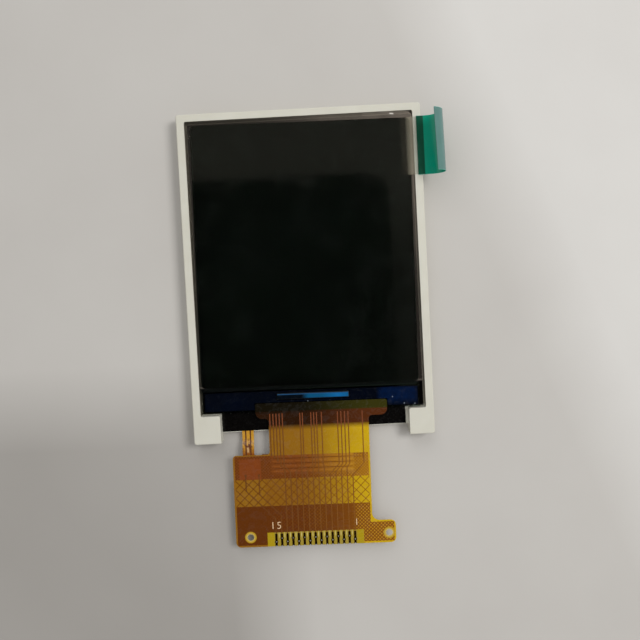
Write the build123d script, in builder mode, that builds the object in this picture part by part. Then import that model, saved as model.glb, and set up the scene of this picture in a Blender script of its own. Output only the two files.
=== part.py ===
"""Small colour LCD module of a feature phone, lying face up.

A white moulded frame holds an edge-lit backlight and carries the glass cell on
a ledge inside its bars. The driver chip and the amber flex are bonded to the
strip of array glass that stands out below the colour filter glass. A second,
narrow flex feeds the backlight and is soldered under the main one. A clear
film with a green pull tab still protects the screen.

The origin is the centre of the module's back face, +Z points out of the
screen and +Y to the top of the picture. All sizes are in millimetres.
"""
from build123d import *

import os
from math import acos, cos, degrees, radians, sin

os.makedirs("parts", exist_ok=True)

# Moulded frame
frame_width = 33.8
frame_length = 46.0
frame_height = 2.5
frame_corner_radius = 0.35
frame_edge_chamfer = 0.1
side_bar_width = 1.1
top_bar_width = 1.0
left_foot_width = 3.8
right_foot_width = 3.45
left_foot_length = 3.9
right_foot_length = 3.7
opening_corner_radius = 0.25
rail_setback = 1.3
rail_depth = 2.9

# Backlight sheets, from the back to the front
reflector_thickness = 0.1
reflector_margin = 0.6
reflector_clearance = 0.1
guide_thickness = 0.65
guide_clearance = 0.1
guide_ear_width = 2.0
guide_ear_reach = 0.5
guide_ear_end_margin = 6.2
shelf_width = 1.1
diffuser_thickness = 0.06
prism_thickness = 0.07
sheet_margin = 0.15

# Backlight lamps and their flex
led_count = 3
led_end_margin = 3.7
led_length = 3.8
led_depth = 1.0
led_height = 0.6
led_clearance = 0.1
led_window_length = 2.8
led_window_height = 0.4
led_cup_depth = 0.55
led_cup_draft = 10
led_flex_thickness = 0.1
led_flex_clearance = 0.1
led_strip_margin = 0.4
led_strip_front_margin = 0.8
led_tail_inset = 1.0
led_tail_width = 1.64
led_tail_straight = 0.35
led_tail_bend_radius = 2.5
led_pad_end_width = 2.4
led_pad_end_length = 2.93
led_pad_end_drop = 0.6
led_pad_width = 0.6
led_pad_length = 2.0
led_pad_pitch = 1.6
led_trace_width = 0.2
led_trace_pitch = 0.66
copper_thickness = 0.02
solder_thickness = 0.05

# Light shield tape
tape_thickness = 0.06
tape_side_gap = 0.15
tape_apron_setback = 0.1
tape_foot_gap_left = 0.05
tape_foot_gap_right = 0.4

# Glass cell
cell_turn = -0.7
cell_side_clearance = 0.2
cell_top_clearance = 0.45
cell_foot_clearance = 0.1
glass_thickness = 0.5
ledge_width = 3.0
cell_gap = 0.01
seal_width = 0.8
seal_margin = 0.1
active_side_border = 1.304
active_top_border = 1.3
active_bottom_border = 1.036
window_margin = 0.2
polarizer_thickness = 0.14
polarizer_margin = 0.2
polarizer_corner_radius = 0.6

# Protective film
film_thickness = 0.06
film_side_margin = 0.12
film_top_margin = 0.15
film_bottom_margin = 0.45
film_corner_radius = 0.8

# Driver chip on the ledge
chip_length = 10.0
chip_width = 0.65
chip_thickness = 0.3
chip_offset = 0.25
chip_below_filter = 0.55
bond_thickness = 0.02
bond_margin = 0.12
sealant_thickness = 0.08
sealant_margin = 0.3
sealant_clearance = 0.1

# Main flex outline, drawn for a glass of this width and placed from the glass's lower edge
flex_glass_width = 30.638
flex_lap = 1.2
flex_head_width = 18.6
flex_head_radius = 0.3
flex_head_offset = 1.35
flex_shoulder_drop = 1.0
flex_shoulder_radius = 0.95
flex_neck_radius = 0.5
flex_neck_left_inset = 1.8
flex_neck_right_inset = 2.65
flex_body_drop = 6.1
flex_body_step = 5.3
flex_body_left_radius = 0.5
flex_reach = 19.25
flex_end_radius = 0.75
flex_ear_reach = 3.3
flex_ear_length = 3.25
flex_ear_inner_radius = 1.0
flex_ear_radius = 0.75
flex_film_thickness = 0.05
cover_thickness = 0.03
cover_setback = 0.3
cover_edge_margin = 0.02

# Locating holes of the main flex
locating_hole_radius = 0.47
locating_hole_edge = 1.4
locating_hole_left_inset = 2.1
locating_hole_right_inset = 0.97
locating_hole_copper_gap = 0.33

# Solder pads of the main flex
pad_count = 15
pad_spacing = 0.8
pad_width = 0.33
pad_length = 1.8
pad_row_offset = -0.12
pad_window_side = 1.25
pad_window_length = 2.0
pad_ring_radius = 0.25
pad_hole_radius = 0.12
pad_plating = 0.03
pad_hole_rows = (0.64, 1.14)
small_hole_sides = 8
pad_notch_radius = 0.13

# Copper of the main flex
copper_inset = 0.25
upper_band_drop = 5.9
upper_band_length = 3.6
lower_band_length = 5.75
mesh_pitch = 1.27
mesh_line_width = 0.12
trace_width = 0.14
neck_trace_gaps = (
    0.2,
    0.44,
    0.44,
    0.44,
    0.44,
    2.49,
    0.35,
    1.2,
    0.4,
    0.4,
    0.69,
    2.26,
    0.5,
    0.5,
    0.5,
    2.0,
)
trace_jog_rise = 1.75
row_pitch = 0.42
row_width = 0.2
via_radius = 0.1
via_dot_radius = 0.16
led_line_spacing = 1.9
led_pads = 2
land_margin = 0.05

# Pull tab and the clear tape that holds it
tab_thickness = 0.08
tab_top_drop = 1.9
tab_width = 8.05
tab_edge_inset = 0.65
tab_flat_low = 1.1
tab_flat_high = 0.3
tab_curl_radius_low = 1.75
tab_curl_radius_high = 2.3
tab_curl_angle_low = 166
tab_curl_angle_high = 159
tab_tape_thickness = 0.05
tab_tape_side_inset = 0.08
tab_tape_film_lap = 1.25
tab_tape_film_flat = 0.75
tab_tape_tab_lap = 0.95
tab_tape_rise_gap = 0.1

# Heights of the layers
guide_base = reflector_thickness
diffuser_base = guide_base + guide_thickness
lower_prism_base = diffuser_base + diffuser_thickness
upper_prism_base = lower_prism_base + prism_thickness
shelf_height = upper_prism_base + prism_thickness
rear_polarizer_base = shelf_height + tape_thickness
array_base = rear_polarizer_base + polarizer_thickness
ledge_height = array_base + glass_thickness
filter_base = ledge_height + cell_gap
front_polarizer_base = filter_base + glass_thickness
film_base = front_polarizer_base + polarizer_thickness
film_top = film_base + film_thickness
led_flex_base = shelf_height - led_flex_thickness
led_base = led_flex_base - led_height
flex_base_bottom = ledge_height + bond_thickness
flex_base_top = flex_base_bottom + flex_film_thickness
back_copper_bottom = flex_base_bottom - copper_thickness
back_cover_bottom = back_copper_bottom - cover_thickness
led_tail_top = back_copper_bottom - solder_thickness

# Places in the frame's outline
frame_top = frame_length / 2
frame_bottom = -frame_length / 2
opening_half_width = frame_width / 2 - side_bar_width
opening_top = frame_top - top_bar_width
left_foot_top = frame_bottom + left_foot_length
right_foot_top = frame_bottom + right_foot_length
left_foot_inner = left_foot_width - frame_width / 2
right_foot_inner = frame_width / 2 - right_foot_width
rail_front = frame_bottom + rail_setback
rail_back = rail_front + rail_depth
guide_width = 2 * (opening_half_width - shelf_width - guide_clearance)
cavity_top = opening_top - shelf_width
cavity_bottom = rail_back + led_depth + led_clearance
guide_top = cavity_top - guide_clearance
guide_bottom = cavity_bottom + guide_clearance
guide_length = guide_top - guide_bottom
guide_centre = (guide_top + guide_bottom) / 2
guide_ear_spacing = guide_length - 2 * guide_ear_end_margin
led_pitch = (guide_width - 2 * led_end_margin - led_length) / (led_count - 1)
led_centre = rail_back + led_depth / 2
led_strip_width = led_pitch * (led_count - 1) + led_length + 2 * led_strip_margin
led_strip_bottom = rail_front + led_strip_front_margin
led_strip_length = guide_bottom - led_strip_bottom
led_strip_centre = (guide_bottom + led_strip_bottom) / 2
led_tail_left = led_tail_inset - led_strip_width / 2
led_tail_centre = led_tail_left + led_tail_width / 2
led_pad_end_centre = led_tail_left + led_pad_end_width / 2

# Places in the cell, which sits a little turned in its frame
turn_slope = abs(sin(radians(cell_turn)))
glass_width = 2 * (opening_half_width - cell_side_clearance - turn_slope * frame_length / 2)
glass_top = opening_top - cell_top_clearance - turn_slope * glass_width / 2
glass_bottom = right_foot_top + cell_foot_clearance + turn_slope * glass_width / 2
filter_bottom = glass_bottom + ledge_width
array_length = glass_top - glass_bottom
filter_length = glass_top - filter_bottom
filter_centre = (glass_top + filter_bottom) / 2
active_width = glass_width - 2 * active_side_border
active_length = filter_length - active_top_border - active_bottom_border
active_centre = glass_top - active_top_border - active_length / 2
chip_centre = filter_bottom - chip_below_filter - chip_width / 2
flex_head_top = glass_bottom + flex_lap
flex_shoulder = glass_bottom - flex_shoulder_drop
flex_body_top = glass_bottom - flex_body_drop
flex_end = glass_bottom - flex_reach
flex_ear_top = flex_end + flex_ear_length
flex_fit = glass_width / flex_glass_width
flex_head_left = flex_fit * (flex_head_offset - flex_head_width / 2)
flex_head_right = flex_fit * (flex_head_offset + flex_head_width / 2)
flex_neck_left = flex_head_left + flex_fit * flex_neck_left_inset
flex_neck_right = flex_head_right - flex_fit * flex_neck_right_inset
flex_body_left = flex_neck_left - flex_fit * flex_body_step
flex_ear_right = flex_neck_right + flex_fit * flex_ear_reach
pad_pitch = flex_fit * pad_spacing
cover_top = glass_bottom - cover_setback
hole_row = flex_end + locating_hole_edge
left_hole = flex_body_left + locating_hole_left_inset
right_hole = flex_ear_right - locating_hole_right_inset
pad_tops = flex_end + pad_length
upper_band_top = glass_bottom - upper_band_drop
upper_band_bottom = upper_band_top - upper_band_length
lower_band_top = flex_end + lower_band_length

neck_traces = []
trace_x = flex_neck_left
for trace_gap in neck_trace_gaps:
    trace_x = trace_x + flex_fit * trace_gap
    neck_traces.append(trace_x)
spare_traces = len(neck_traces) - (pad_count - led_pads)
trace_jog = upper_band_bottom + trace_jog_rise
pad_positions = [pad_row_offset + pad_pitch * (step - (pad_count - 1) / 2) for step in range(pad_count)]

# The tail of the backlight flex climbs to the main flex in two equal arcs
tail_rise = led_tail_top - shelf_height
tail_arc = degrees(acos(1 - tail_rise / (2 * led_tail_bend_radius)))
tail_turned_body_top = flex_body_top * cos(radians(cell_turn)) + led_tail_left * sin(radians(cell_turn))
led_pad_end_bottom = tail_turned_body_top - led_pad_end_drop - led_pad_end_length
led_pad_end_middle = led_pad_end_bottom + led_pad_end_length / 2


def cell_plane(height):
    """Return the plane at this height that is turned with the glass cell."""
    turn = radians(cell_turn)
    return Plane(origin=(0, 0, height), x_dir=(cos(turn), sin(turn), 0), z_dir=(0, 0, 1))


def save(piece, name):
    """Label a finished piece and write it as a STEP file."""
    piece.part.label = name
    export_step(piece.part, f"parts/{name}.step")


# Frame: a moulded ring, high at the bars and feet and low at the rail between the feet
with BuildPart() as backlight_frame:
    with BuildSketch() as outer_outline:
        Rectangle(frame_width, frame_length)
        fillet(outer_outline.vertices(), frame_corner_radius)
    extrude(amount=frame_height)
    chamfer(backlight_frame.faces().sort_by(Axis.Z)[-1].edges(), frame_edge_chamfer)
    with BuildSketch(Plane.XY.offset(shelf_height)):
        with BuildLine():
            FilletPolyline(
                (-opening_half_width, opening_top),
                (opening_half_width, opening_top),
                (opening_half_width, right_foot_top),
                (right_foot_inner, right_foot_top),
                (right_foot_inner, 2 * frame_bottom),
                (left_foot_inner, 2 * frame_bottom),
                (left_foot_inner, left_foot_top),
                (-opening_half_width, left_foot_top),
                radius=opening_corner_radius,
                close=True,
            )
        make_face()
    extrude(amount=frame_height, mode=Mode.SUBTRACT)
    with BuildSketch() as gap_between_feet:
        with Locations(((left_foot_inner + right_foot_inner) / 2, frame_bottom)):
            Rectangle(right_foot_inner - left_foot_inner, 2 * rail_setback)
    extrude(amount=frame_height, mode=Mode.SUBTRACT)
    with BuildSketch() as guide_cavity:
        with Locations((0, (cavity_top + cavity_bottom) / 2)):
            Rectangle(guide_width + 2 * guide_clearance, cavity_top - cavity_bottom)
        with Locations((0, guide_centre)):
            with GridLocations(guide_width, guide_ear_spacing, 2, 2):
                Rectangle(
                    2 * (guide_ear_reach + guide_clearance),
                    guide_ear_width + 2 * guide_clearance,
                )
        with Locations((0, led_centre)):
            with GridLocations(led_pitch, 0, led_count, 1):
                Rectangle(led_length + 2 * led_clearance, led_depth + 2 * led_clearance)
    extrude(amount=frame_height, mode=Mode.SUBTRACT)
    with BuildSketch() as reflector_recess:
        Rectangle(frame_width - 2 * reflector_margin, frame_length - 2 * reflector_margin)
        with Locations((0, frame_bottom)):
            Rectangle(frame_width, 2 * (rail_setback + reflector_margin), mode=Mode.SUBTRACT)
    extrude(amount=reflector_thickness, mode=Mode.SUBTRACT)
    with BuildSketch(Plane.XY.offset(led_flex_base)) as led_flex_recess:
        with Locations((0, led_strip_centre)):
            Rectangle(
                led_strip_width + 2 * led_flex_clearance,
                led_strip_length + 2 * led_flex_clearance,
            )
        with Locations((led_tail_centre, rail_front)):
            Rectangle(led_tail_width + 2 * led_flex_clearance, 2 * led_strip_front_margin)
    extrude(amount=led_flex_thickness, mode=Mode.SUBTRACT)
save(backlight_frame, "backlight_frame")

# Reflector: a white sheet let into the back of the frame
with BuildPart() as reflector_sheet:
    with BuildSketch():
        Rectangle(
            frame_width - 2 * (reflector_margin + reflector_clearance),
            frame_length - 2 * (reflector_margin + reflector_clearance),
        )
        with Locations((0, frame_bottom)):
            Rectangle(
                frame_width,
                2 * (rail_setback + reflector_margin + reflector_clearance),
                mode=Mode.SUBTRACT,
            )
    extrude(amount=reflector_thickness)
save(reflector_sheet, "reflector_sheet")

# Light guide: a clear plate located in the frame by four ears
with BuildPart() as light_guide_plate:
    with BuildSketch(Plane.XY.offset(guide_base)):
        with Locations((0, guide_centre)):
            Rectangle(guide_width, guide_length)
            with GridLocations(guide_width, guide_ear_spacing, 2, 2):
                Rectangle(2 * guide_ear_reach, guide_ear_width)
    extrude(amount=guide_thickness)
save(light_guide_plate, "light_guide_plate")

# Diffuser and two prism sheets, stacked on the light guide
film_stack = (
    ("diffuser_sheet", diffuser_base, diffuser_thickness),
    ("prism_sheet_lower", lower_prism_base, prism_thickness),
    ("prism_sheet_upper", upper_prism_base, prism_thickness),
)
for sheet_name, sheet_base, sheet_thickness in film_stack:
    with BuildPart() as light_sheet:
        with BuildSketch(Plane.XY.offset(sheet_base)):
            with Locations((0, guide_centre)):
                Rectangle(guide_width - 2 * sheet_margin, guide_length - 2 * sheet_margin)
        extrude(amount=sheet_thickness)
    save(light_sheet, sheet_name)

# Side-view lamps: white bodies whose cups open towards the light guide
led_front = led_centre + led_depth / 2
led_positions = [led_pitch * (number - (led_count - 1) / 2) for number in range(led_count)]
for number, led_x in enumerate(led_positions, start=1):
    with BuildPart() as led_body:
        with BuildSketch(Plane.XY.offset(led_base)):
            with Locations((led_x, led_centre)):
                Rectangle(led_length, led_depth)
        extrude(amount=led_height)
        with BuildSketch(Plane.XZ.offset(-led_front)):
            with Locations((led_x, led_base + led_height / 2)):
                Rectangle(led_window_length, led_window_height)
        extrude(amount=led_cup_depth, taper=led_cup_draft, mode=Mode.SUBTRACT)
    save(led_body, f"led_{number}")

# Yellow phosphor that fills the cups
with BuildPart() as led_phosphors:
    for led_x in led_positions:
        with BuildSketch(Plane.XZ.offset(-led_front)):
            with Locations((led_x, led_base + led_height / 2)):
                Rectangle(led_window_length, led_window_height)
        extrude(amount=led_cup_depth, taper=led_cup_draft)
save(led_phosphors, "led_phosphors")

# Copper of the backlight flex: two rails over the lamps, two lines down the tail and two solder pads
inlay_offset = (led_flex_thickness - copper_thickness) / 2
jog_left = led_tail_centre + (led_trace_pitch - led_trace_width) / 2
jog_right = led_pad_end_centre + (led_pad_pitch + led_pad_width) / 2
jog_bar_y = led_pad_end_middle + (led_pad_length + led_trace_width) / 2
with BuildPart() as led_flex_traces:
    with BuildSketch(Plane.XY.offset(shelf_height - copper_thickness)):
        for side in (-1, 1):
            rail_y = led_strip_centre + side * led_strip_length / 4
            line_x = led_tail_centre + side * led_trace_pitch / 2
            rail_length = led_strip_width / 2 - led_strip_margin - line_x
            with Locations((line_x + rail_length / 2, rail_y)):
                Rectangle(rail_length, led_trace_width)
            with Locations((line_x, (rail_y + rail_front - led_tail_straight) / 2)):
                Rectangle(led_trace_width, rail_y - rail_front + led_tail_straight)
    extrude(amount=copper_thickness)
    for side in (-1, 1):
        line_left = led_tail_centre + side * led_trace_pitch / 2 - led_trace_width / 2
        with BuildSketch(Plane.YZ.offset(line_left)):
            with BuildLine():
                lower_arc = JernArc(
                    (rail_front - led_tail_straight, shelf_height - copper_thickness / 2),
                    (-1, 0),
                    led_tail_bend_radius - inlay_offset,
                    -tail_arc,
                )
                upper_radius = led_tail_bend_radius + inlay_offset
                upper_arc = JernArc(lower_arc @ 1, lower_arc % 1, upper_radius, tail_arc)
                Line(upper_arc @ 1, (led_pad_end_middle + led_pad_length / 2, (upper_arc @ 1).Y))
            trace(line_width=copper_thickness)
        extrude(amount=led_trace_width)
    with BuildSketch(Plane.XY.offset(led_tail_top - copper_thickness)):
        with Locations((led_pad_end_centre, led_pad_end_middle)):
            with GridLocations(led_pad_pitch, 0, 2, 1):
                Rectangle(led_pad_width, led_pad_length)
        with Locations(((jog_left + jog_right) / 2, jog_bar_y)):
            Rectangle(jog_right - jog_left, led_trace_width)
    extrude(amount=copper_thickness)
save(led_flex_traces, "led_flex_traces")

# Backlight flex: a strip over the lamps, and a tail that rises to the back of the main flex
with BuildPart() as led_flex:
    with BuildSketch(Plane.XY.offset(led_flex_base)):
        with Locations((0, led_strip_centre)):
            Rectangle(led_strip_width, led_strip_length)
    extrude(amount=led_flex_thickness)
    with BuildSketch(Plane.YZ.offset(led_tail_left)):
        with BuildLine():
            tail_level = Line(
                (led_strip_centre, shelf_height - led_flex_thickness / 2),
                (rail_front - led_tail_straight, shelf_height - led_flex_thickness / 2),
            )
            lower_arc = JernArc(tail_level @ 1, tail_level % 1, led_tail_bend_radius, -tail_arc)
            upper_arc = JernArc(lower_arc @ 1, lower_arc % 1, led_tail_bend_radius, tail_arc)
            Line(upper_arc @ 1, (led_pad_end_bottom, (upper_arc @ 1).Y))
        trace(line_width=led_flex_thickness)
    extrude(amount=led_tail_width)
    with BuildSketch(Plane.XY.offset(led_tail_top - led_flex_thickness)):
        with Locations((led_pad_end_centre, led_pad_end_middle)):
            Rectangle(led_pad_end_width, led_pad_end_length)
    extrude(amount=led_flex_thickness)
    add(led_flex_traces.part, mode=Mode.SUBTRACT)
save(led_flex, "led_flex")

# Light shield tape: a black ring on the shelf under the glass that runs out between the feet
tape_wide = opening_half_width - tape_side_gap
tape_top = opening_top - tape_side_gap
tape_left = left_foot_inner + tape_foot_gap_left
tape_right = right_foot_inner - tape_foot_gap_right
tape_bottom = rail_front + tape_apron_setback
with BuildPart() as light_shield_tape:
    with BuildSketch(Plane.XY.offset(shelf_height)):
        with BuildLine():
            Polyline(
                (-tape_wide, tape_top),
                (-tape_wide, left_foot_top + tape_side_gap),
                (tape_left, left_foot_top + tape_side_gap),
                (tape_left, tape_bottom),
                (tape_right, tape_bottom),
                (tape_right, right_foot_top + tape_side_gap),
                (tape_wide, right_foot_top + tape_side_gap),
                (tape_wide, tape_top),
                close=True,
            )
        make_face()
    extrude(amount=tape_thickness)
    with BuildSketch(cell_plane(shelf_height)):
        with Locations((0, active_centre)):
            Rectangle(active_width + 2 * window_margin, active_length + 2 * window_margin)
    extrude(amount=tape_thickness, mode=Mode.SUBTRACT)
save(light_shield_tape, "light_shield_tape")

# Glass cell: polarizer, array glass, seal, liquid crystal, colour filter glass and polarizer
polarizer_sheets = (
    ("rear_polarizer", rear_polarizer_base),
    ("front_polarizer", front_polarizer_base),
)
for sheet_name, sheet_base in polarizer_sheets:
    with BuildPart() as polarizer:
        with BuildSketch(cell_plane(sheet_base)):
            with Locations((0, filter_centre)):
                RectangleRounded(
                    glass_width - 2 * polarizer_margin,
                    filter_length - 2 * polarizer_margin,
                    polarizer_corner_radius,
                )
        extrude(amount=polarizer_thickness)
    save(polarizer, sheet_name)

with BuildPart() as array_glass:
    with BuildSketch(cell_plane(array_base)):
        with Locations((0, (glass_top + glass_bottom) / 2)):
            Rectangle(glass_width, array_length)
    extrude(amount=glass_thickness)
save(array_glass, "array_glass")

crystal_inset = 2 * (seal_margin + seal_width)
with BuildPart() as cell_seal:
    with BuildSketch(cell_plane(ledge_height)):
        with Locations((0, filter_centre)):
            Rectangle(glass_width - 2 * seal_margin, filter_length - 2 * seal_margin)
            Rectangle(glass_width - crystal_inset, filter_length - crystal_inset, mode=Mode.SUBTRACT)
    extrude(amount=cell_gap)
save(cell_seal, "cell_seal")

with BuildPart() as liquid_crystal:
    with BuildSketch(cell_plane(ledge_height)):
        with Locations((0, filter_centre)):
            Rectangle(glass_width - crystal_inset, filter_length - crystal_inset)
    extrude(amount=cell_gap)
save(liquid_crystal, "liquid_crystal")

with BuildPart() as colour_filter_glass:
    with BuildSketch(cell_plane(filter_base)):
        with Locations((0, filter_centre)):
            Rectangle(glass_width, filter_length)
    extrude(amount=glass_thickness)
save(colour_filter_glass, "colour_filter_glass")

# Protective film with rounded corners
film_length = filter_length - film_top_margin - film_bottom_margin
with BuildPart() as protective_film:
    with BuildSketch(cell_plane(film_base)):
        with Locations((0, filter_centre + (film_bottom_margin - film_top_margin) / 2)):
            RectangleRounded(glass_width - 2 * film_side_margin, film_length, film_corner_radius)
    extrude(amount=film_thickness)
save(protective_film, "protective_film")

# Clear tape: lies on the film, bridges the gap and runs over the side bar to hold the pull tab
tab_high_y = frame_top - tab_top_drop
tab_low_y = tab_high_y - tab_width
tab_start = frame_width / 2 - tab_edge_inset
tape_film_start = glass_width / 2 - tab_tape_film_lap
tape_climb_start = tape_film_start + tab_tape_film_flat
tape_climb_end = opening_half_width - tab_tape_rise_gap
tape_end = tab_start + tab_tape_tab_lap
with BuildPart() as tab_tape:
    with BuildSketch(Plane.XZ.offset(tab_tape_side_inset - tab_high_y)):
        with BuildLine():
            Polyline(
                (tape_film_start, film_top),
                (tape_climb_start, film_top),
                (tape_climb_end, frame_height),
                (tape_end, frame_height),
                (tape_end, frame_height + tab_tape_thickness),
                (tape_climb_end, frame_height + tab_tape_thickness),
                (tape_climb_start, film_top + tab_tape_thickness),
                (tape_film_start, film_top + tab_tape_thickness),
                close=True,
            )
        make_face()
    extrude(amount=tab_width - 2 * tab_tape_side_inset)
save(tab_tape, "tab_tape")

# Pull tab: flat on the tape, then curled up and back over the frame's edge, tighter at the lower end
tab_base = frame_height + tab_tape_thickness
tab_top = tab_base + tab_thickness
tab_sections = (
    (tab_low_y, tab_flat_low, tab_curl_radius_low, tab_curl_angle_low),
    (tab_high_y, tab_flat_high, tab_curl_radius_high, tab_curl_angle_high),
)
with BuildPart() as pull_tab:
    for section_y, flat_reach, curl_radius, curl_angle in tab_sections:
        with BuildSketch(Plane.XZ.offset(-section_y)):
            with BuildLine():
                flat_end = frame_width / 2 + flat_reach
                under_flat = Line((tab_start, tab_base), (flat_end, tab_base))
                under_curl = JernArc(under_flat @ 1, (1, 0), curl_radius, curl_angle)
                over_flat = Line((tab_start, tab_top), (flat_end, tab_top))
                over_curl = JernArc(over_flat @ 1, (1, 0), curl_radius - tab_thickness, curl_angle)
                Line(under_curl @ 1, over_curl @ 1)
                Line(under_flat @ 0, over_flat @ 0)
            make_face()
    loft(ruled=True)
save(pull_tab, "pull_tab")

# Driver chip on the ledge, on its bond film
with BuildPart() as ic_bond_film:
    with BuildSketch(cell_plane(ledge_height)):
        with Locations((chip_offset, chip_centre)):
            Rectangle(chip_length + 2 * bond_margin, chip_width + 2 * bond_margin)
    extrude(amount=bond_thickness)
save(ic_bond_film, "ic_bond_film")

with BuildPart() as driver_ic:
    with BuildSketch(cell_plane(ledge_height + bond_thickness)):
        with Locations((chip_offset, chip_centre)):
            Rectangle(chip_length, chip_width)
    extrude(amount=chip_thickness)
save(driver_ic, "driver_ic")

# Bond film between the ledge and the head of the main flex
with BuildPart() as flex_bond_film:
    with BuildSketch(cell_plane(ledge_height)):
        with Locations(((flex_head_left + flex_head_right) / 2, glass_bottom + flex_lap / 2)):
            Rectangle(
                flex_head_right - flex_head_left - 2 * flex_head_radius,
                flex_lap - 2 * bond_margin,
            )
    extrude(amount=bond_thickness)
save(flex_bond_film, "flex_bond_film")

# Clear coat that seals the bare parts of the ledge round the chip and the flex
coat_top = filter_bottom - sealant_clearance
coat_bottom = glass_bottom + sealant_margin
with BuildPart() as ledge_sealant:
    with BuildSketch(cell_plane(ledge_height)):
        with Locations((0, (coat_top + coat_bottom) / 2)):
            Rectangle(glass_width - 2 * sealant_margin, coat_top - coat_bottom)
        with Locations((chip_offset, chip_centre)):
            Rectangle(
                chip_length + 2 * (bond_margin + sealant_clearance),
                chip_width + 2 * (bond_margin + sealant_clearance),
                mode=Mode.SUBTRACT,
            )
        with Locations(((flex_head_left + flex_head_right) / 2, glass_bottom)):
            Rectangle(
                flex_head_right - flex_head_left + 2 * sealant_clearance,
                2 * (flex_lap + sealant_clearance),
                mode=Mode.SUBTRACT,
            )
    extrude(amount=sealant_thickness)
save(ledge_sealant, "ledge_sealant")


def flex_outline(top, inset):
    """Return the corners of the main flex, drawn in from its edge by the inset."""
    return (
        (flex_head_left + inset, top),
        (flex_head_left + inset, flex_shoulder + inset),
        (flex_neck_left + inset, flex_shoulder + inset),
        (flex_neck_left + inset, flex_body_top - inset),
        (flex_body_left + inset, flex_body_top - inset),
        (flex_body_left + inset, flex_end + inset),
        (flex_ear_right - inset, flex_end + inset),
        (flex_ear_right - inset, flex_ear_top - inset),
        (flex_neck_right - inset, flex_ear_top - inset),
        (flex_neck_right - inset, flex_shoulder + inset),
        (flex_head_right - inset, flex_shoulder + inset),
        (flex_head_right - inset, top),
    )


# One radius for each corner of the outline, in the same order
flex_radii = (
    flex_head_radius,
    flex_shoulder_radius,
    flex_neck_radius,
    flex_neck_radius,
    flex_body_left_radius,
    flex_end_radius,
    flex_end_radius,
    flex_ear_radius,
    flex_ear_inner_radius,
    flex_neck_radius,
    flex_shoulder_radius,
    flex_head_radius,
)

# Places of the holes, vias and pads in the main flex
locating_holes = ((left_hole, hole_row), (right_hole, hole_row))
pad_bars = [(x, flex_end + pad_length / 2) for x in pad_positions]
pad_holes = [(x, flex_end + pad_hole_rows[step % 2]) for step, x in enumerate(pad_positions)]
pad_notches = [(x, flex_end) for x in pad_positions]
row_count = int(upper_band_length / row_pitch)
row_heights = [upper_band_top - row_pitch * (step + 0.5) for step in range(row_count)]
row_vias = list(zip(neck_traces[:spare_traces], row_heights))

# The solder lands for the backlight tail, seen from the turned frame of the main flex
turn_cos = cos(radians(cell_turn))
turn_sin = sin(radians(cell_turn))
land_centre = led_pad_end_centre * turn_cos + led_pad_end_middle * turn_sin
land_middle = led_pad_end_middle * turn_cos - led_pad_end_centre * turn_sin
land_bottom = land_middle - led_pad_length / 2
led_lines = (land_centre - led_line_spacing / 2, land_centre + led_line_spacing / 2)
led_vias = [(x, land_bottom + via_dot_radius) for x in led_lines]

# Plated vias through the base film
with BuildPart() as plated_vias:
    with BuildSketch(cell_plane(flex_base_bottom)):
        with Locations(*row_vias, *led_vias):
            RegularPolygon(via_radius, small_hole_sides)
    extrude(amount=flex_film_thickness)
save(plated_vias, "plated_vias")

# Base film: locating holes, the pads' plated holes and the half holes along its end
with BuildPart() as flex_base:
    with BuildSketch(cell_plane(flex_base_bottom)):
        with BuildLine():
            FilletPolyline(*flex_outline(flex_head_top, 0), radius=flex_radii, close=True)
        make_face()
        with Locations(*locating_holes):
            Circle(locating_hole_radius, mode=Mode.SUBTRACT)
        with Locations(*pad_holes):
            RegularPolygon(pad_hole_radius + pad_plating, small_hole_sides, mode=Mode.SUBTRACT)
        with Locations(*pad_notches):
            RegularPolygon(pad_notch_radius + pad_plating, small_hole_sides, mode=Mode.SUBTRACT)
        with Locations(*row_vias, *led_vias):
            RegularPolygon(via_radius, small_hole_sides, mode=Mode.SUBTRACT)
    extrude(amount=flex_film_thickness)
save(flex_base, "flex_base")

# Contact pads: bars on both faces of the base film, joined by the plating of their holes
with BuildPart() as contact_pads:
    for face_height in (back_copper_bottom, flex_base_top):
        with BuildSketch(cell_plane(face_height)):
            with Locations(*pad_bars):
                Rectangle(pad_width, pad_length)
            with Locations(*pad_holes):
                RegularPolygon(pad_ring_radius, small_hole_sides)
            with Locations(*pad_holes):
                RegularPolygon(pad_hole_radius, small_hole_sides, mode=Mode.SUBTRACT)
            with Locations(*pad_notches):
                RegularPolygon(pad_notch_radius, small_hole_sides, mode=Mode.SUBTRACT)
        extrude(amount=copper_thickness)
    with BuildSketch(cell_plane(flex_base_bottom)):
        with Locations(*pad_holes):
            RegularPolygon(pad_hole_radius + pad_plating, small_hole_sides)
        with Locations(*pad_notches):
            RegularPolygon(pad_notch_radius + pad_plating, small_hole_sides)
        with Locations(*pad_holes):
            RegularPolygon(pad_hole_radius, small_hole_sides, mode=Mode.SUBTRACT)
        with Locations(*pad_notches):
            RegularPolygon(pad_notch_radius, small_hole_sides, mode=Mode.SUBTRACT)
        with Locations((pad_row_offset, flex_end - pad_length)):
            Rectangle(pad_count * pad_pitch, 2 * pad_length, mode=Mode.SUBTRACT)
    extrude(amount=flex_film_thickness)
save(contact_pads, "contact_pads")


def jogged_trace(start_x, start_y, end_x, end_y, jog_y):
    """Return the corners of a trace that runs down, jogs at 45 degrees and runs down again."""
    half = trace_width / 2
    jog_end = jog_y - abs(end_x - start_x) - half
    return (
        (start_x - half, start_y),
        (start_x - half, jog_y),
        (end_x - half, jog_end),
        (end_x - half, end_y),
        (end_x + half, end_y),
        (end_x + half, jog_end),
        (start_x + half, jog_y),
        (start_x + half, start_y),
    )


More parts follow.
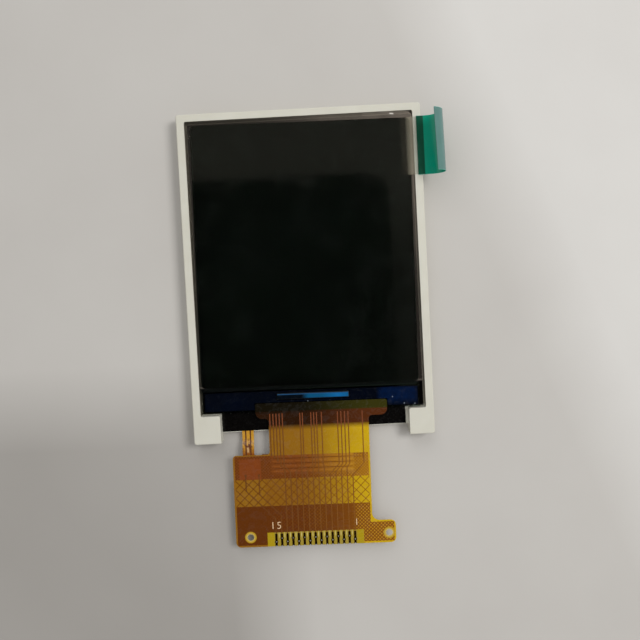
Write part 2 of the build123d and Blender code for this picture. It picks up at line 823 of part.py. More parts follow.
# Signal traces on the front: from the glass down the neck, then to the pads
with BuildPart() as signal_traces:
    with BuildSketch(cell_plane(flex_base_top)):
        for start_x, end_x in zip(neck_traces[spare_traces:], pad_positions[led_pads:]):
            with BuildLine():
                Polyline(*jogged_trace(start_x, cover_top, end_x, pad_tops, trace_jog), close=True)
            make_face()
        for start_x, via_y in row_vias:
            with Locations((start_x, (cover_top + via_y) / 2)):
                Rectangle(trace_width, cover_top - via_y)
            with Locations((start_x, via_y)):
                RegularPolygon(via_dot_radius, small_hole_sides)
        for step, (start_x, start_y) in enumerate(led_vias):
            jog_y = (start_y + pad_tops + abs(pad_positions[step] - start_x)) / 2
            with BuildLine():
                Polyline(*jogged_trace(start_x, start_y, pad_positions[step], pad_tops, jog_y), close=True)
            make_face()
            with Locations((start_x, start_y)):
                RegularPolygon(via_dot_radius, small_hole_sides)
    extrude(amount=copper_thickness)
save(signal_traces, "signal_traces")

# Rows of traces on the back in the upper band, and the solder lands for the backlight tail
row_left = land_centre + led_pad_end_width / 2 + copper_inset
row_right = flex_neck_right - copper_inset
with BuildPart() as back_traces:
    with BuildSketch(cell_plane(back_copper_bottom)):
        with Locations(*[((row_left + row_right) / 2, height) for height in row_heights]):
            Rectangle(row_right - row_left, row_width)
        with Locations(*row_vias):
            RegularPolygon(via_dot_radius, small_hole_sides)
    extrude(amount=copper_thickness)
    with BuildSketch(Plane.XY.offset(back_copper_bottom)):
        with Locations((led_pad_end_centre, led_pad_end_middle)):
            with GridLocations(led_pad_pitch, 0, 2, 1):
                Rectangle(led_pad_width + 2 * land_margin, led_pad_length + 2 * land_margin)
    extrude(amount=copper_thickness)
save(back_traces, "back_traces")

# Ground copper on the back: a diamond mesh in the middle and a full sheet below it
mesh_top = min(upper_band_bottom, land_bottom - 2 * copper_inset)
mesh_left = flex_body_left + copper_inset
mesh_width = row_right - mesh_left
mesh_height = mesh_top - lower_band_top
mesh_columns = max(1, int(mesh_width / mesh_pitch))
mesh_rows = max(1, int(mesh_height / mesh_pitch))
mesh_diamond = mesh_pitch / 2 - mesh_line_width * 2 ** 0.5 / 2
mesh_middle = ((mesh_left + row_right) / 2, (mesh_top + lower_band_top) / 2)
pad_window_width = pad_pitch * (pad_count - 1) + 2 * pad_window_side
with BuildPart() as ground_copper:
    with BuildSketch(cell_plane(back_copper_bottom)):
        with BuildLine():
            FilletPolyline(
                (mesh_left, mesh_top),
                (mesh_left, flex_end + copper_inset),
                (flex_ear_right - copper_inset, flex_end + copper_inset),
                (flex_ear_right - copper_inset, flex_ear_top - copper_inset),
                (row_right, flex_ear_top - copper_inset),
                (row_right, mesh_top),
                radius=flex_end_radius - copper_inset,
                close=True,
            )
        make_face()
        with Locations(mesh_middle):
            with GridLocations(mesh_pitch, mesh_pitch, mesh_columns, mesh_rows):
                RegularPolygon(mesh_diamond, 4, mode=Mode.SUBTRACT)
            with GridLocations(mesh_pitch, mesh_pitch, max(1, mesh_columns - 1), max(1, mesh_rows - 1)):
                RegularPolygon(mesh_diamond, 4, mode=Mode.SUBTRACT)
        with Locations(*locating_holes):
            Circle(locating_hole_radius + locating_hole_copper_gap, mode=Mode.SUBTRACT)
        with Locations((pad_row_offset, flex_end)):
            Rectangle(pad_window_width, 2 * (pad_window_length + copper_inset), mode=Mode.SUBTRACT)
    extrude(amount=copper_thickness)
save(ground_copper, "ground_copper")

# Front cover film: bonded over the traces, open at the pads and punched with the locating holes
with BuildPart() as flex_front_cover:
    with BuildSketch(cell_plane(flex_base_top)):
        with BuildLine():
            FilletPolyline(*flex_outline(flex_head_top, cover_edge_margin), radius=flex_radii, close=True)
        make_face()
        with Locations((flex_head_offset, flex_head_top)):
            Rectangle(2 * flex_head_width, 2 * (flex_head_top - cover_top), mode=Mode.SUBTRACT)
        with Locations(*locating_holes):
            Circle(locating_hole_radius, mode=Mode.SUBTRACT)
        with Locations((pad_row_offset, flex_end)):
            Rectangle(pad_window_width, 2 * pad_window_length, mode=Mode.SUBTRACT)
    extrude(amount=copper_thickness + cover_thickness)
    add(signal_traces.part, mode=Mode.SUBTRACT)
save(flex_front_cover, "flex_front_cover")

# Back cover film: the same, with a window for each solder joint of the backlight tail
with BuildPart() as flex_back_cover:
    with BuildSketch(cell_plane(back_cover_bottom)):
        with BuildLine():
            FilletPolyline(*flex_outline(flex_head_top, cover_edge_margin), radius=flex_radii, close=True)
        make_face()
        with Locations((flex_head_offset, flex_head_top)):
            Rectangle(2 * flex_head_width, 2 * (flex_head_top - cover_top), mode=Mode.SUBTRACT)
        with Locations(*locating_holes):
            Circle(locating_hole_radius, mode=Mode.SUBTRACT)
        with Locations((pad_row_offset, flex_end)):
            Rectangle(pad_window_width, 2 * pad_window_length, mode=Mode.SUBTRACT)
    extrude(amount=copper_thickness + cover_thickness)
    with BuildSketch(Plane.XY.offset(back_cover_bottom)):
        with Locations((led_pad_end_centre, led_pad_end_middle)):
            with GridLocations(led_pad_pitch, 0, 2, 1):
                Rectangle(led_pad_width, led_pad_length)
    extrude(amount=cover_thickness, mode=Mode.SUBTRACT)
    add(back_traces.part, mode=Mode.SUBTRACT)
    add(ground_copper.part, mode=Mode.SUBTRACT)
save(flex_back_cover, "flex_back_cover")

# Solder joints between the pads of the tail and the lands of the main flex
with BuildPart() as tail_solder:
    with BuildSketch(Plane.XY.offset(led_tail_top)):
        with Locations((led_pad_end_centre, led_pad_end_middle)):
            with GridLocations(led_pad_pitch, 0, 2, 1):
                Rectangle(led_pad_width, led_pad_length)
    extrude(amount=solder_thickness)
save(tail_solder, "tail_solder")
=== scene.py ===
# %% [markdown]
# A small display module lies face up on a table. Its solids were drawn in a CAD program and packed, so this
# notebook only has to dress them: each piece gets a finish made of shader nodes, and a few things that are
# too small or too soft for the solids are modelled here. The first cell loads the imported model. Every piece
# keeps its place, one Blender unit is one metre, and the frame is only 34 mm wide.

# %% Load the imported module
import math

import bmesh
import bpy
from mathutils import Matrix, Vector


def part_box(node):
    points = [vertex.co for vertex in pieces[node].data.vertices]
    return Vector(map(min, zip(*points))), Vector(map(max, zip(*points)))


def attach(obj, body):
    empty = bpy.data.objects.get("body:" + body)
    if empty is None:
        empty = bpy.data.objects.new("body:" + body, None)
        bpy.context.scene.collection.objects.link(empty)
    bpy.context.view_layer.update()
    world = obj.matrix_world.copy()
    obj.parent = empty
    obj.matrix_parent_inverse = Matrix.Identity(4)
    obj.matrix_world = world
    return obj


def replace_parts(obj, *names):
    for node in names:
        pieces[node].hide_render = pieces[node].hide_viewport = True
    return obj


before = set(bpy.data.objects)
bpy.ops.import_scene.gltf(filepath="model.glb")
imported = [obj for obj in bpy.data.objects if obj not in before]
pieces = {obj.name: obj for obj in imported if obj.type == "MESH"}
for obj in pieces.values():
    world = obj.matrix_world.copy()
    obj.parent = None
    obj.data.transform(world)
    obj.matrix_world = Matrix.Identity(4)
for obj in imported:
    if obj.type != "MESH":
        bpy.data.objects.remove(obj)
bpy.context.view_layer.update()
MM = 0.001
print("loaded", len(pieces), "pieces")

# %% [markdown]
# Colours are easiest to judge as they look on a screen, from 0 to 255, but shaders work with linear light.
# One small helper turns the first into the second, so every finish below can be written as it looks.

# %% Screen colours to linear light
def screen_colour(red, green, blue):
    """Turn an 8-bit screen colour into the linear colour that a shader takes."""
    linear = []
    for value in (red, green, blue):
        share = value / 255
        linear.append(share / 12.92 if share <= 0.04045 else ((share + 0.055) / 1.055) ** 2.4)
    return (*linear, 1.0)


print("mid grey becomes", round(screen_colour(128, 128, 128)[0], 3))

# %% [markdown]
# The glass cell was stuck into its frame a little turned, and the flex is bonded to the glass, so both are
# turned clockwise by 0.7 degrees. Patterns on them are easiest to place in the cell's own directions. Each
# material therefore starts with the piece's coordinates in millimetres, turned back where that is wanted.
# Where a pattern needs them one by one, they are split into X, Y and Z.

# %% Start a material with its coordinates in millimetres
CELL_TURN = math.radians(-0.7)


def start_material(name, colour, roughness, turned=False):
    """Make a material of this screen colour. Return it with its tree, shader and place in millimetres."""
    material = bpy.data.materials.new(name)
    material.use_nodes = True
    tree = material.node_tree
    shader = tree.nodes["Principled BSDF"]
    shader.inputs["Base Color"].default_value = screen_colour(*colour)
    shader.inputs["Roughness"].default_value = roughness
    place = tree.nodes.new("ShaderNodeTexCoord")
    scaled = tree.nodes.new("ShaderNodeMapping")
    scaled.inputs["Scale"].default_value = (1 / MM, 1 / MM, 1 / MM)
    if turned:
        scaled.inputs["Rotation"].default_value = (0, 0, -CELL_TURN)
    tree.links.new(place.outputs["Object"], scaled.inputs["Vector"])
    return material, tree, shader, scaled.outputs["Vector"]


def split(tree, place):
    """Return a node that gives the place's X, Y and Z one by one."""
    parts = tree.nodes.new("ShaderNodeSeparateXYZ")
    tree.links.new(place, parts.inputs["Vector"])
    return parts


def dress(material, *names):
    """Give the material to these CAD pieces."""
    for name in names:
        pieces[name].data.materials.clear()
        pieces[name].data.materials.append(material)
    print(material.name, "dresses", len(names))


# %% [markdown]
# Nothing real has one flat colour. A moulded part is a little uneven, and so are tape and film. The same
# effect serves nearly every finish here, so it is a node group: it mixes two close colours by a soft noise.
# A group has named sockets, is built once, and each material places it with its own values.

# %% A group for soft mottling
def new_group(name, inputs, outputs):
    """Make an empty shader group with these sockets and return its tree and its two end nodes."""
    group = bpy.data.node_groups.new(name, "ShaderNodeTree")
    for label, kind in inputs:
        group.interface.new_socket(name=label, in_out="INPUT", socket_type="NodeSocket" + kind)
    for label, kind in outputs:
        group.interface.new_socket(name=label, in_out="OUTPUT", socket_type="NodeSocket" + kind)
    return group, group.nodes.new("NodeGroupInput"), group.nodes.new("NodeGroupOutput")


def make_mottling():
    """Two colours mixed by a soft noise."""
    wanted = (("Vector", "Vector"), ("Scale", "Float"), ("Light", "Color"), ("Dark", "Color"))
    group, entry, leave = new_group("Soft mottling", wanted, (("Color", "Color"),))
    noise = group.nodes.new("ShaderNodeTexNoise")
    noise.inputs["Detail"].default_value = 4
    mix = group.nodes.new("ShaderNodeMix")
    mix.data_type = "RGBA"
    group.links.new(entry.outputs["Vector"], noise.inputs["Vector"])
    group.links.new(entry.outputs["Scale"], noise.inputs["Scale"])
    group.links.new(noise.outputs["Fac"], mix.inputs["Factor"])
    group.links.new(entry.outputs["Light"], mix.inputs["A"])
    group.links.new(entry.outputs["Dark"], mix.inputs["B"])
    group.links.new(mix.outputs["Result"], leave.inputs["Color"])
    return group


mottling_group = make_mottling()


def mottle(tree, vector, scale, light, dark):
    """Place the mottling group with two screen colours and return its colour."""
    node = tree.nodes.new("ShaderNodeGroup")
    node.node_tree = mottling_group
    node.inputs["Scale"].default_value = scale
    node.inputs["Light"].default_value = screen_colour(*light)
    node.inputs["Dark"].default_value = screen_colour(*dark)
    tree.links.new(vector, node.inputs["Vector"])
    return node.outputs["Color"]


print("groups:", [group.name for group in bpy.data.node_groups])

# %% [markdown]
# Gloss gives a surface away as well. Handling leaves smears and dust, which show as patches that shine
# less. A second group lets the roughness wander between a clean and a smeared value, and a third gives the
# fine grain that a mould or a rolled film has, as a height for a Bump node.

# %% Groups for handling marks and fine grain
def make_handling():
    """A roughness that wanders between two values, with a few sharper smears."""
    wanted = (("Vector", "Vector"), ("Scale", "Float"), ("Clean", "Float"), ("Smeared", "Float"))
    group, entry, leave = new_group("Handling marks", wanted, (("Roughness", "Float"),))
    noise = group.nodes.new("ShaderNodeTexNoise")
    noise.inputs["Detail"].default_value = 5
    noise.inputs["Distortion"].default_value = 1.5
    spread = group.nodes.new("ShaderNodeMapRange")
    spread.interpolation_type = "SMOOTHSTEP"
    spread.inputs["From Min"].default_value = 0.45
    spread.inputs["From Max"].default_value = 0.7
    group.links.new(entry.outputs["Vector"], noise.inputs["Vector"])
    group.links.new(entry.outputs["Scale"], noise.inputs["Scale"])
    group.links.new(noise.outputs["Fac"], spread.inputs["Value"])
    group.links.new(entry.outputs["Clean"], spread.inputs["To Min"])
    group.links.new(entry.outputs["Smeared"], spread.inputs["To Max"])
    group.links.new(spread.outputs["Result"], leave.inputs["Roughness"])
    return group


def make_grain():
    """A fine, even grain."""
    wanted = (("Vector", "Vector"), ("Scale", "Float"))
    group, entry, leave = new_group("Fine grain", wanted, (("Height", "Float"),))
    noise = group.nodes.new("ShaderNodeTexNoise")
    noise.inputs["Detail"].default_value = 3
    noise.inputs["Roughness"].default_value = 0.6
    group.links.new(entry.outputs["Vector"], noise.inputs["Vector"])
    group.links.new(entry.outputs["Scale"], noise.inputs["Scale"])
    group.links.new(noise.outputs["Fac"], leave.inputs["Height"])
    return group


handling_group = make_handling()
grain_group = make_grain()


def handle(tree, shader, vector, scale, clean, smeared):
    """Let the shader's roughness wander between clean and smeared."""
    node = tree.nodes.new("ShaderNodeGroup")
    node.node_tree = handling_group
    node.inputs["Scale"].default_value = scale
    node.inputs["Clean"].default_value = clean
    node.inputs["Smeared"].default_value = smeared
    tree.links.new(vector, node.inputs["Vector"])
    tree.links.new(node.outputs["Roughness"], shader.inputs["Roughness"])


def grain(tree, shader, vector, scale, height_mm, strength=0.5):
    """Raise a fine grain of this height on the shader's surface."""
    node = tree.nodes.new("ShaderNodeGroup")
    node.node_tree = grain_group
    node.inputs["Scale"].default_value = scale
    bump = tree.nodes.new("ShaderNodeBump")
    bump.inputs["Strength"].default_value = strength
    bump.inputs["Distance"].default_value = height_mm * MM
    tree.links.new(vector, node.inputs["Vector"])
    tree.links.new(node.outputs["Height"], bump.inputs["Height"])
    tree.links.new(bump.outputs["Normal"], shader.inputs["Normal"])


print("groups:", len(bpy.data.node_groups))

# %% [markdown]
# Thin coloured film isn't a wall for light: a good part of it goes through, so its shadow is paler than
# that of the frame. Real tinted light through film costs a lot of samples. A cheap way is to make the film
# partly see-through for shadow rays only, which the Light Path node can tell apart. The ramp between the
# two is a helper of its own, because many finishes below change softly along a position.

# %% Let part of the light through a film
def ramp(tree, position, start, end, low=0, high=1, soft=True):
    """Go from low to high while a position goes from start to end, softly or straight."""
    node = tree.nodes.new("ShaderNodeMapRange")
    node.interpolation_type = "SMOOTHSTEP" if soft else "LINEAR"
    node.inputs["From Min"].default_value = start
    node.inputs["From Max"].default_value = end
    node.inputs["To Min"].default_value = low
    node.inputs["To Max"].default_value = high
    tree.links.new(position, node.inputs["Value"])
    return node.outputs["Result"]


def let_light_through(tree, shader, share):
    """Make the surface see-through for this share of the light that falls on it, but not for the camera."""
    paths = tree.nodes.new("ShaderNodeLightPath")
    cover = ramp(tree, paths.outputs["Is Shadow Ray"], 0, 1, 1, 1 - share, soft=False)
    tree.links.new(cover, shader.inputs["Alpha"])


print("helper for thin films ready")

# %% [markdown]
# Some finishes follow a drawing: the flex has areas with more or less copper behind it, and the ledge of
# the glass has a blue patch. Such areas are drawn with masks on the coordinates. One group makes a mask
# between two values of a position, and two of those make a rectangle. Lines repeat, so another group makes
# them from a position, a pitch and a width. A distance gives a round spot.

# %% Groups for repeated lines and for bands
LINE_EDGE = 0.03


def math_node(tree, operation, kind="Math"):
    """Make a Math or a VectorMath node for this operation."""
    node = tree.nodes.new("ShaderNode" + kind)
    node.operation = operation
    return node


def make_lines():
    """A mask that is 1 on lines of this width, repeated at this pitch along a position."""
    wanted = (("Position", "Float"), ("Pitch", "Float"), ("Width", "Float"))
    group, entry, leave = new_group("Repeated lines", wanted, (("Mask", "Float"),))
    wrap = math_node(group, "FLOORED_MODULO")
    half = math_node(group, "MULTIPLY")
    half.inputs[1].default_value = 0.5
    centre = math_node(group, "SUBTRACT")
    away = math_node(group, "ABSOLUTE")
    reach = math_node(group, "MULTIPLY_ADD")
    reach.inputs[1].default_value = 0.5
    reach.inputs[2].default_value = LINE_EDGE / 2
    edge = group.nodes.new("ShaderNodeMapRange")
    edge.inputs["To Min"].default_value = 1
    edge.inputs["To Max"].default_value = 0
    inner = math_node(group, "SUBTRACT")
    inner.inputs[1].default_value = LINE_EDGE
    group.links.new(entry.outputs["Position"], wrap.inputs[0])
    group.links.new(entry.outputs["Pitch"], wrap.inputs[1])
    group.links.new(entry.outputs["Pitch"], half.inputs[0])
    group.links.new(wrap.outputs[0], centre.inputs[0])
    group.links.new(half.outputs[0], centre.inputs[1])
    group.links.new(centre.outputs[0], away.inputs[0])
    group.links.new(entry.outputs["Width"], reach.inputs[0])
    group.links.new(reach.outputs[0], inner.inputs[0])
    group.links.new(away.outputs[0], edge.inputs["Value"])
    group.links.new(inner.outputs[0], edge.inputs["From Min"])
    group.links.new(reach.outputs[0], edge.inputs["From Max"])
    group.links.new(edge.outputs["Result"], leave.inputs["Mask"])
    return group


def make_band():
    """A mask that is 1 between two values of a position, with a soft edge."""
    wanted = (("Position", "Float"), ("Low", "Float"), ("High", "Float"), ("Softness", "Float"))
    group, entry, leave = new_group("Band", wanted, (("Mask", "Float"),))
    masks = []
    for side, sign in (("Low", 1), ("High", -1)):
        beyond = math_node(group, "SUBTRACT")
        share = math_node(group, "DIVIDE")
        clamp = math_node(group, "MULTIPLY_ADD")
        clamp.use_clamp = True
        clamp.inputs[1].default_value = 0.5 * sign
        clamp.inputs[2].default_value = 0.5
        group.links.new(entry.outputs["Position"], beyond.inputs[0])
        group.links.new(entry.outputs[side], beyond.inputs[1])
        group.links.new(beyond.outputs[0], share.inputs[0])
        group.links.new(entry.outputs["Softness"], share.inputs[1])
        group.links.new(share.outputs[0], clamp.inputs[0])
        masks.append(clamp)
    both = math_node(group, "MULTIPLY")
    group.links.new(masks[0].outputs[0], both.inputs[0])
    group.links.new(masks[1].outputs[0], both.inputs[1])
    group.links.new(both.outputs[0], leave.inputs["Mask"])
    return group


lines_group = make_lines()
band_group = make_band()


def lines(tree, position, pitch, width):
    """Place the repeated lines group and return its mask."""
    node = tree.nodes.new("ShaderNodeGroup")
    node.node_tree = lines_group
    node.inputs["Pitch"].default_value = pitch
    node.inputs["Width"].default_value = width
    tree.links.new(position, node.inputs["Position"])
    return node.outputs["Mask"]


def band(tree, position, low, high, softness=0.02):
    """Place the band group and return its mask."""
    node = tree.nodes.new("ShaderNodeGroup")
    node.node_tree = band_group
    node.inputs["Low"].default_value = low
    node.inputs["High"].default_value = high
    node.inputs["Softness"].default_value = softness
    tree.links.new(position, node.inputs["Position"])
    return node.outputs["Mask"]


def sum_up(tree, operation, first, second):
    """Join two masks or positions, or one and a number, with a Math node."""
    node = math_node(tree, operation)
    for socket, value in zip(node.inputs, (first, second)):
        if isinstance(value, (int, float)):
            socket.default_value = value
        else:
            tree.links.new(value, socket)
    return node.outputs[0]


def paint(tree, below, colour, mask):
    """Lay a colour over what is below where the mask is 1. Three numbers are a screen colour."""
    node = tree.nodes.new("ShaderNodeMix")
    node.data_type = "RGBA"
    tree.links.new(mask, node.inputs["Factor"])
    for socket, value in ((node.inputs["A"], below), (node.inputs["B"], colour)):
        if isinstance(value, tuple):
            socket.default_value = screen_colour(*value)
        else:
            tree.links.new(value, socket)
    return node.outputs["Result"]


def area(tree, parts, left, right, low, high, softness=0.02):
    """Return the mask of a rectangle."""
    across = band(tree, parts.outputs["X"], left, right, softness)
    return sum_up(tree, "MULTIPLY", across, band(tree, parts.outputs["Y"], low, high, softness))


def spot(tree, parts, x, y, radius, softness=0.04):
    """Return the mask of a round spot."""
    flat = tree.nodes.new("ShaderNodeCombineXYZ")
    tree.links.new(parts.outputs["X"], flat.inputs["X"])
    tree.links.new(parts.outputs["Y"], flat.inputs["Y"])
    distance = math_node(tree, "DISTANCE", "VectorMath")
    distance.inputs[1].default_value = (x, y, 0)
    tree.links.new(flat.outputs["Vector"], distance.inputs[0])
    return band(tree, distance.outputs["Value"], -1, radius, softness)


print("groups:", [group.name for group in bpy.data.node_groups])

# %% [markdown]
# The frame is moulded in white plastic that lets a little light in, so its thin edges glow. A small amount
# of subsurface scattering gives that. The surface is nearly matt, with the mould's faint unevenness and
# grain. Down in the gap beside the glass the wall is painted grey as painted shade, since hardly any light
# gets there, and that painted shade is paler at the right.

# %% White moulded frame
OPENING = (-15.84, 15.84, -19.0, 22.04)
WALL_TOP = 2.34
LIT_SIDE = 9

frame_plastic, tree, shader, place = start_material("white_moulded_plastic", (206, 203, 190), 0.42)
frame_colour = mottle(tree, place, 0.35, (210, 208, 196), (200, 197, 183))
parts = split(tree, place)
# Painted shade: below its top, the wall inside the opening is painted grey, paler at the right.
below_top = band(tree, parts.outputs["Z"], -1, WALL_TOP, 0.05)
gap_shade_mask = sum_up(tree, "MULTIPLY", area(tree, parts, *OPENING), below_top)
lit_side = band(tree, parts.outputs["X"], LIT_SIDE, 20)
gap_painted_shade = paint(tree, (112, 107, 92), (158, 152, 136), lit_side)
frame_colour = paint(tree, frame_colour, gap_painted_shade, gap_shade_mask)
tree.links.new(frame_colour, shader.inputs["Base Color"])
shader.inputs["Subsurface Weight"].default_value = 0.08
shader.inputs["Subsurface Radius"].default_value = (1.0, 0.9, 0.7)
shader.inputs["Subsurface Scale"].default_value = 0.6 * MM
handle(tree, shader, place, 0.6, 0.38, 0.5)
grain(tree, shader, place, 9, 0.01, 0.25)
dress(frame_plastic, "backlight_frame")

# %% [markdown]
# The sheets of the backlight are white or clear. Nearly all of them are hidden under the glass, and only
# their edges show in the gap beside it, but each one still gets the finish it has: a mirror-white
# reflector, a clear guide, and frosted films.

# %% Reflector, light guide and optical sheets
reflector_finish, tree, shader, place = start_material("white_reflector_sheet", (238, 238, 234), 0.18)
reflector_colour = mottle(tree, place, 0.2, (240, 240, 236), (228, 229, 226))
tree.links.new(reflector_colour, shader.inputs["Base Color"])
handle(tree, shader, place, 0.3, 0.14, 0.3)
dress(reflector_finish, "reflector_sheet")

guide_finish, tree, shader, place = start_material("clear_acrylic", (236, 244, 242), 0.05)
guide_colour = mottle(tree, place, 0.3, (238, 246, 244), (228, 238, 236))
tree.links.new(guide_colour, shader.inputs["Base Color"])
shader.inputs["Transmission Weight"].default_value = 0.9
shader.inputs["IOR"].default_value = 1.49
handle(tree, shader, place, 0.5, 0.03, 0.12)
dress(guide_finish, "light_guide_plate")

sheet_finish, tree, shader, place = start_material("frosted_optical_film", (232, 236, 238), 0.45)
sheet_colour = mottle(tree, place, 0.4, (236, 239, 240), (222, 227, 230))
tree.links.new(sheet_colour, shader.inputs["Base Color"])
shader.inputs["Transmission Weight"].default_value = 0.4
grain(tree, shader, place, 30, 0.004)
dress(sheet_finish, "diffuser_sheet", "prism_sheet_lower", "prism_sheet_upper")

# %% [markdown]
# The lamps sit under the rail's tape, so they are seen only from inside or in a cutaway. Their bodies are
# white plastic and their cups hold yellow phosphor in clear resin.

# %% Lamps
lamp_finish, tree, shader, place = start_material("white_lamp_body", (230, 229, 220), 0.35)
lamp_colour = mottle(tree, place, 2, (234, 233, 226), (220, 218, 208))
tree.links.new(lamp_colour, shader.inputs["Base Color"])
dress(lamp_finish, "led_1", "led_2", "led_3")

phosphor_finish, tree, shader, place = start_material("yellow_phosphor", (240, 214, 70), 0.3)
phosphor_colour = mottle(tree, place, 12, (244, 220, 84), (230, 196, 48))
tree.links.new(phosphor_colour, shader.inputs["Base Color"])
grain(tree, shader, place, 25, 0.01)
dress(phosphor_finish, "led_phosphors")

# %% [markdown]
# The light shield tape is a thin black film with a satin face. Black is never quite black: a little sheen
# and a fine grain tell the eye that it is tape and not a hole.

# %% Black light shield tape
tape_finish, tree, shader, place = start_material("black_shield_tape", (6, 5, 5), 0.28)
tape_colour = mottle(tree, place, 1.2, (9, 7, 6), (4, 3, 3))
tree.links.new(tape_colour, shader.inputs["Base Color"])
shader.inputs["Specular IOR Level"].default_value = 0.3
handle(tree, shader, place, 1.5, 0.22, 0.34)
grain(tree, shader, place, 14, 0.006)
dress(tape_finish, "light_shield_tape")

# %% [markdown]
# The glass cell is dark because two crossed polarizers lie over each other with no light behind them. The
# front polarizer is a smooth, nearly black film. The glass itself is clear with the faint green that shows
# at its cut edges.

# %% Polarizers, glass, seal and liquid crystal
polarizer_finish, tree, shader, place = start_material("dark_polarizer", (18, 24, 19), 0.1, turned=True)
polarizer_colour = mottle(tree, place, 0.08, (19, 26, 20), (15, 21, 17))
tree.links.new(polarizer_colour, shader.inputs["Base Color"])
handle(tree, shader, place, 0.15, 0.08, 0.16)
dress(polarizer_finish, "front_polarizer", "rear_polarizer")

glass_finish, tree, shader, place = start_material("display_glass", (226, 240, 234), 0.02, turned=True)
glass_colour = mottle(tree, place, 0.2, (228, 242, 236), (218, 234, 228))
tree.links.new(glass_colour, shader.inputs["Base Color"])
shader.inputs["Transmission Weight"].default_value = 1.0
shader.inputs["IOR"].default_value = 1.52
dress(glass_finish, "array_glass", "colour_filter_glass")

seal_finish, tree, shader, place = start_material("seal_resin", (176, 172, 158), 0.5)
seal_colour = mottle(tree, place, 3, (184, 180, 166), (160, 156, 142))
tree.links.new(seal_colour, shader.inputs["Base Color"])
dress(seal_finish, "cell_seal")

crystal_finish, tree, shader, place = start_material("liquid_crystal_layer", (60, 62, 64), 0.1)
crystal_colour = mottle(tree, place, 0.5, (64, 66, 68), (50, 52, 56))
tree.links.new(crystal_colour, shader.inputs["Base Color"])
dress(crystal_finish, "liquid_crystal")

# %% [markdown]
# The protective film is one clear sheet. Its whitish rim fills the frame's opening and follows it, while
# the border line inside the rim is turned with the glass. Near the pull tab the rim stands up in a small
# ripple with a white crease, which is painted bright enough to stand as the ripple's highlight. A CAD sheet
# is flat, so this piece is modelled here and stands for the CAD node. It starts as one square face, its
# four corners are bevelled as vertices, and an inset gives the rim, whose outer points are then moved to
# the frame. Planes cut it near the ripple so that there are points to raise, and Solidify gives it its
# thickness. The rim is faint at the lower left and whiter at the upper right, the lamp's side, which is
# painted light. Along the lower edge it is painted dark, a painted shade that hides the polarizer's shine
# there. So its alpha and its colour follow the place on it.

# %% Protective film with its rim and its ripple
FILM_LOW, FILM_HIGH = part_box("protective_film")
FILM_WIDTH = 31.02 * MM
FILM_LENGTH = 37.1 * MM
FILM_MIDDLE = Vector((-0.085 * MM, 2.94 * MM, 0))
RIM_WIDTH = 31.5 * MM
RIM_LENGTH = 37.67 * MM
RIM_MIDDLE = Vector((0, 3.115 * MM, 0))
FILM_CORNER = 0.9 * MM
FILM_RIM = 0.28 * MM
FILM_BASE = FILM_LOW.z + 0.006 * MM
RIPPLE_X = 11.9 * MM
RIPPLE_HALF = 1.4 * MM
RIPPLE_DEPTH = 0.95 * MM
RIPPLE_HEIGHT = 0.28 * MM
LOW_EDGE = -15.2
CREASE_HIGHLIGHT = (12.35, 12.95, 21.74, 21.86)


def film_outline():
    """Make the flat film with rounded corners. Its rim reaches the frame and has the second material."""
    mesh = bmesh.new()
    bmesh.ops.create_grid(mesh, x_segments=1, y_segments=1, size=0.5)
    bmesh.ops.scale(mesh, vec=(FILM_WIDTH, FILM_LENGTH, 1), verts=mesh.verts)
    bmesh.ops.bevel(
        mesh,
        geom=mesh.verts[:],
        offset=FILM_CORNER,
        segments=6,
        profile=0.5,
        affect="VERTICES",
        material=-1,
    )
    rim = bmesh.ops.inset_region(
        mesh,
        faces=mesh.faces[:],
        thickness=FILM_RIM,
        use_boundary=True,
        use_even_offset=True,
    )
    for face in rim["faces"]:
        face.material_index = 1
    for vertex in mesh.verts:
        if vertex.is_boundary:
            along = vertex.co.x * RIM_WIDTH / FILM_WIDTH
            up = vertex.co.y * RIM_LENGTH / FILM_LENGTH
            square = RIM_MIDDLE + Vector((along, up, 0))
            vertex.co = Matrix.Rotation(-CELL_TURN, 3, "Z") @ square - FILM_MIDDLE
    print("film rim of", len(rim["faces"]), "faces")
    return mesh


def raise_ripple(mesh):
    """Cut the film near its upper edge and raise a small ripple there."""
    edge = RIM_MIDDLE.y + RIM_LENGTH / 2 - FILM_MIDDLE.y
    for step in range(13):
        point = Vector((RIPPLE_X + RIPPLE_HALF * (step - 6) / 6, 0, 0))
        everything = mesh.verts[:] + mesh.edges[:] + mesh.faces[:]
        bmesh.ops.bisect_plane(mesh, geom=everything, dist=1e-7, plane_co=point, plane_no=(1, 0, 0))
    for step in range(7):
        point = Vector((0, edge - RIPPLE_DEPTH * (step + 0.5) / 7, 0))
        everything = mesh.verts[:] + mesh.edges[:] + mesh.faces[:]
        bmesh.ops.bisect_plane(mesh, geom=everything, dist=1e-7, plane_co=point, plane_no=(0, 1, 0))
    for vertex in mesh.verts:
        side = min(1.0, abs(vertex.co.x - RIPPLE_X) / RIPPLE_HALF)
        depth = max(0.0, 1 - (edge - vertex.co.y) / RIPPLE_DEPTH)
        rise = math.sin(0.6 * math.pi * depth) ** 2
        vertex.co.z += RIPPLE_HEIGHT * (0.5 + 0.5 * math.cos(math.pi * side)) * rise


def place_in_cell(mesh, shift):
    """Move a bmesh by the shift and turn it with the glass cell."""
    bmesh.ops.translate(mesh, vec=shift, verts=mesh.verts)
    bmesh.ops.rotate(mesh, cent=(0, 0, 0), matrix=Matrix.Rotation(CELL_TURN, 3, "Z"), verts=mesh.verts)


def finish_piece(mesh, name, slot, *materials):
    """Turn a bmesh into a piece of the module with its materials. The slot is not used."""
    data = bpy.data.meshes.new(name)
    mesh.to_mesh(data)
    mesh.free()
    piece = bpy.data.objects.new(name, data)
    bpy.context.scene.collection.objects.link(piece)
    for material in materials:
        data.materials.append(material)
    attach(piece, "root")
    print(name, "has", len(data.polygons), "faces")
    return piece


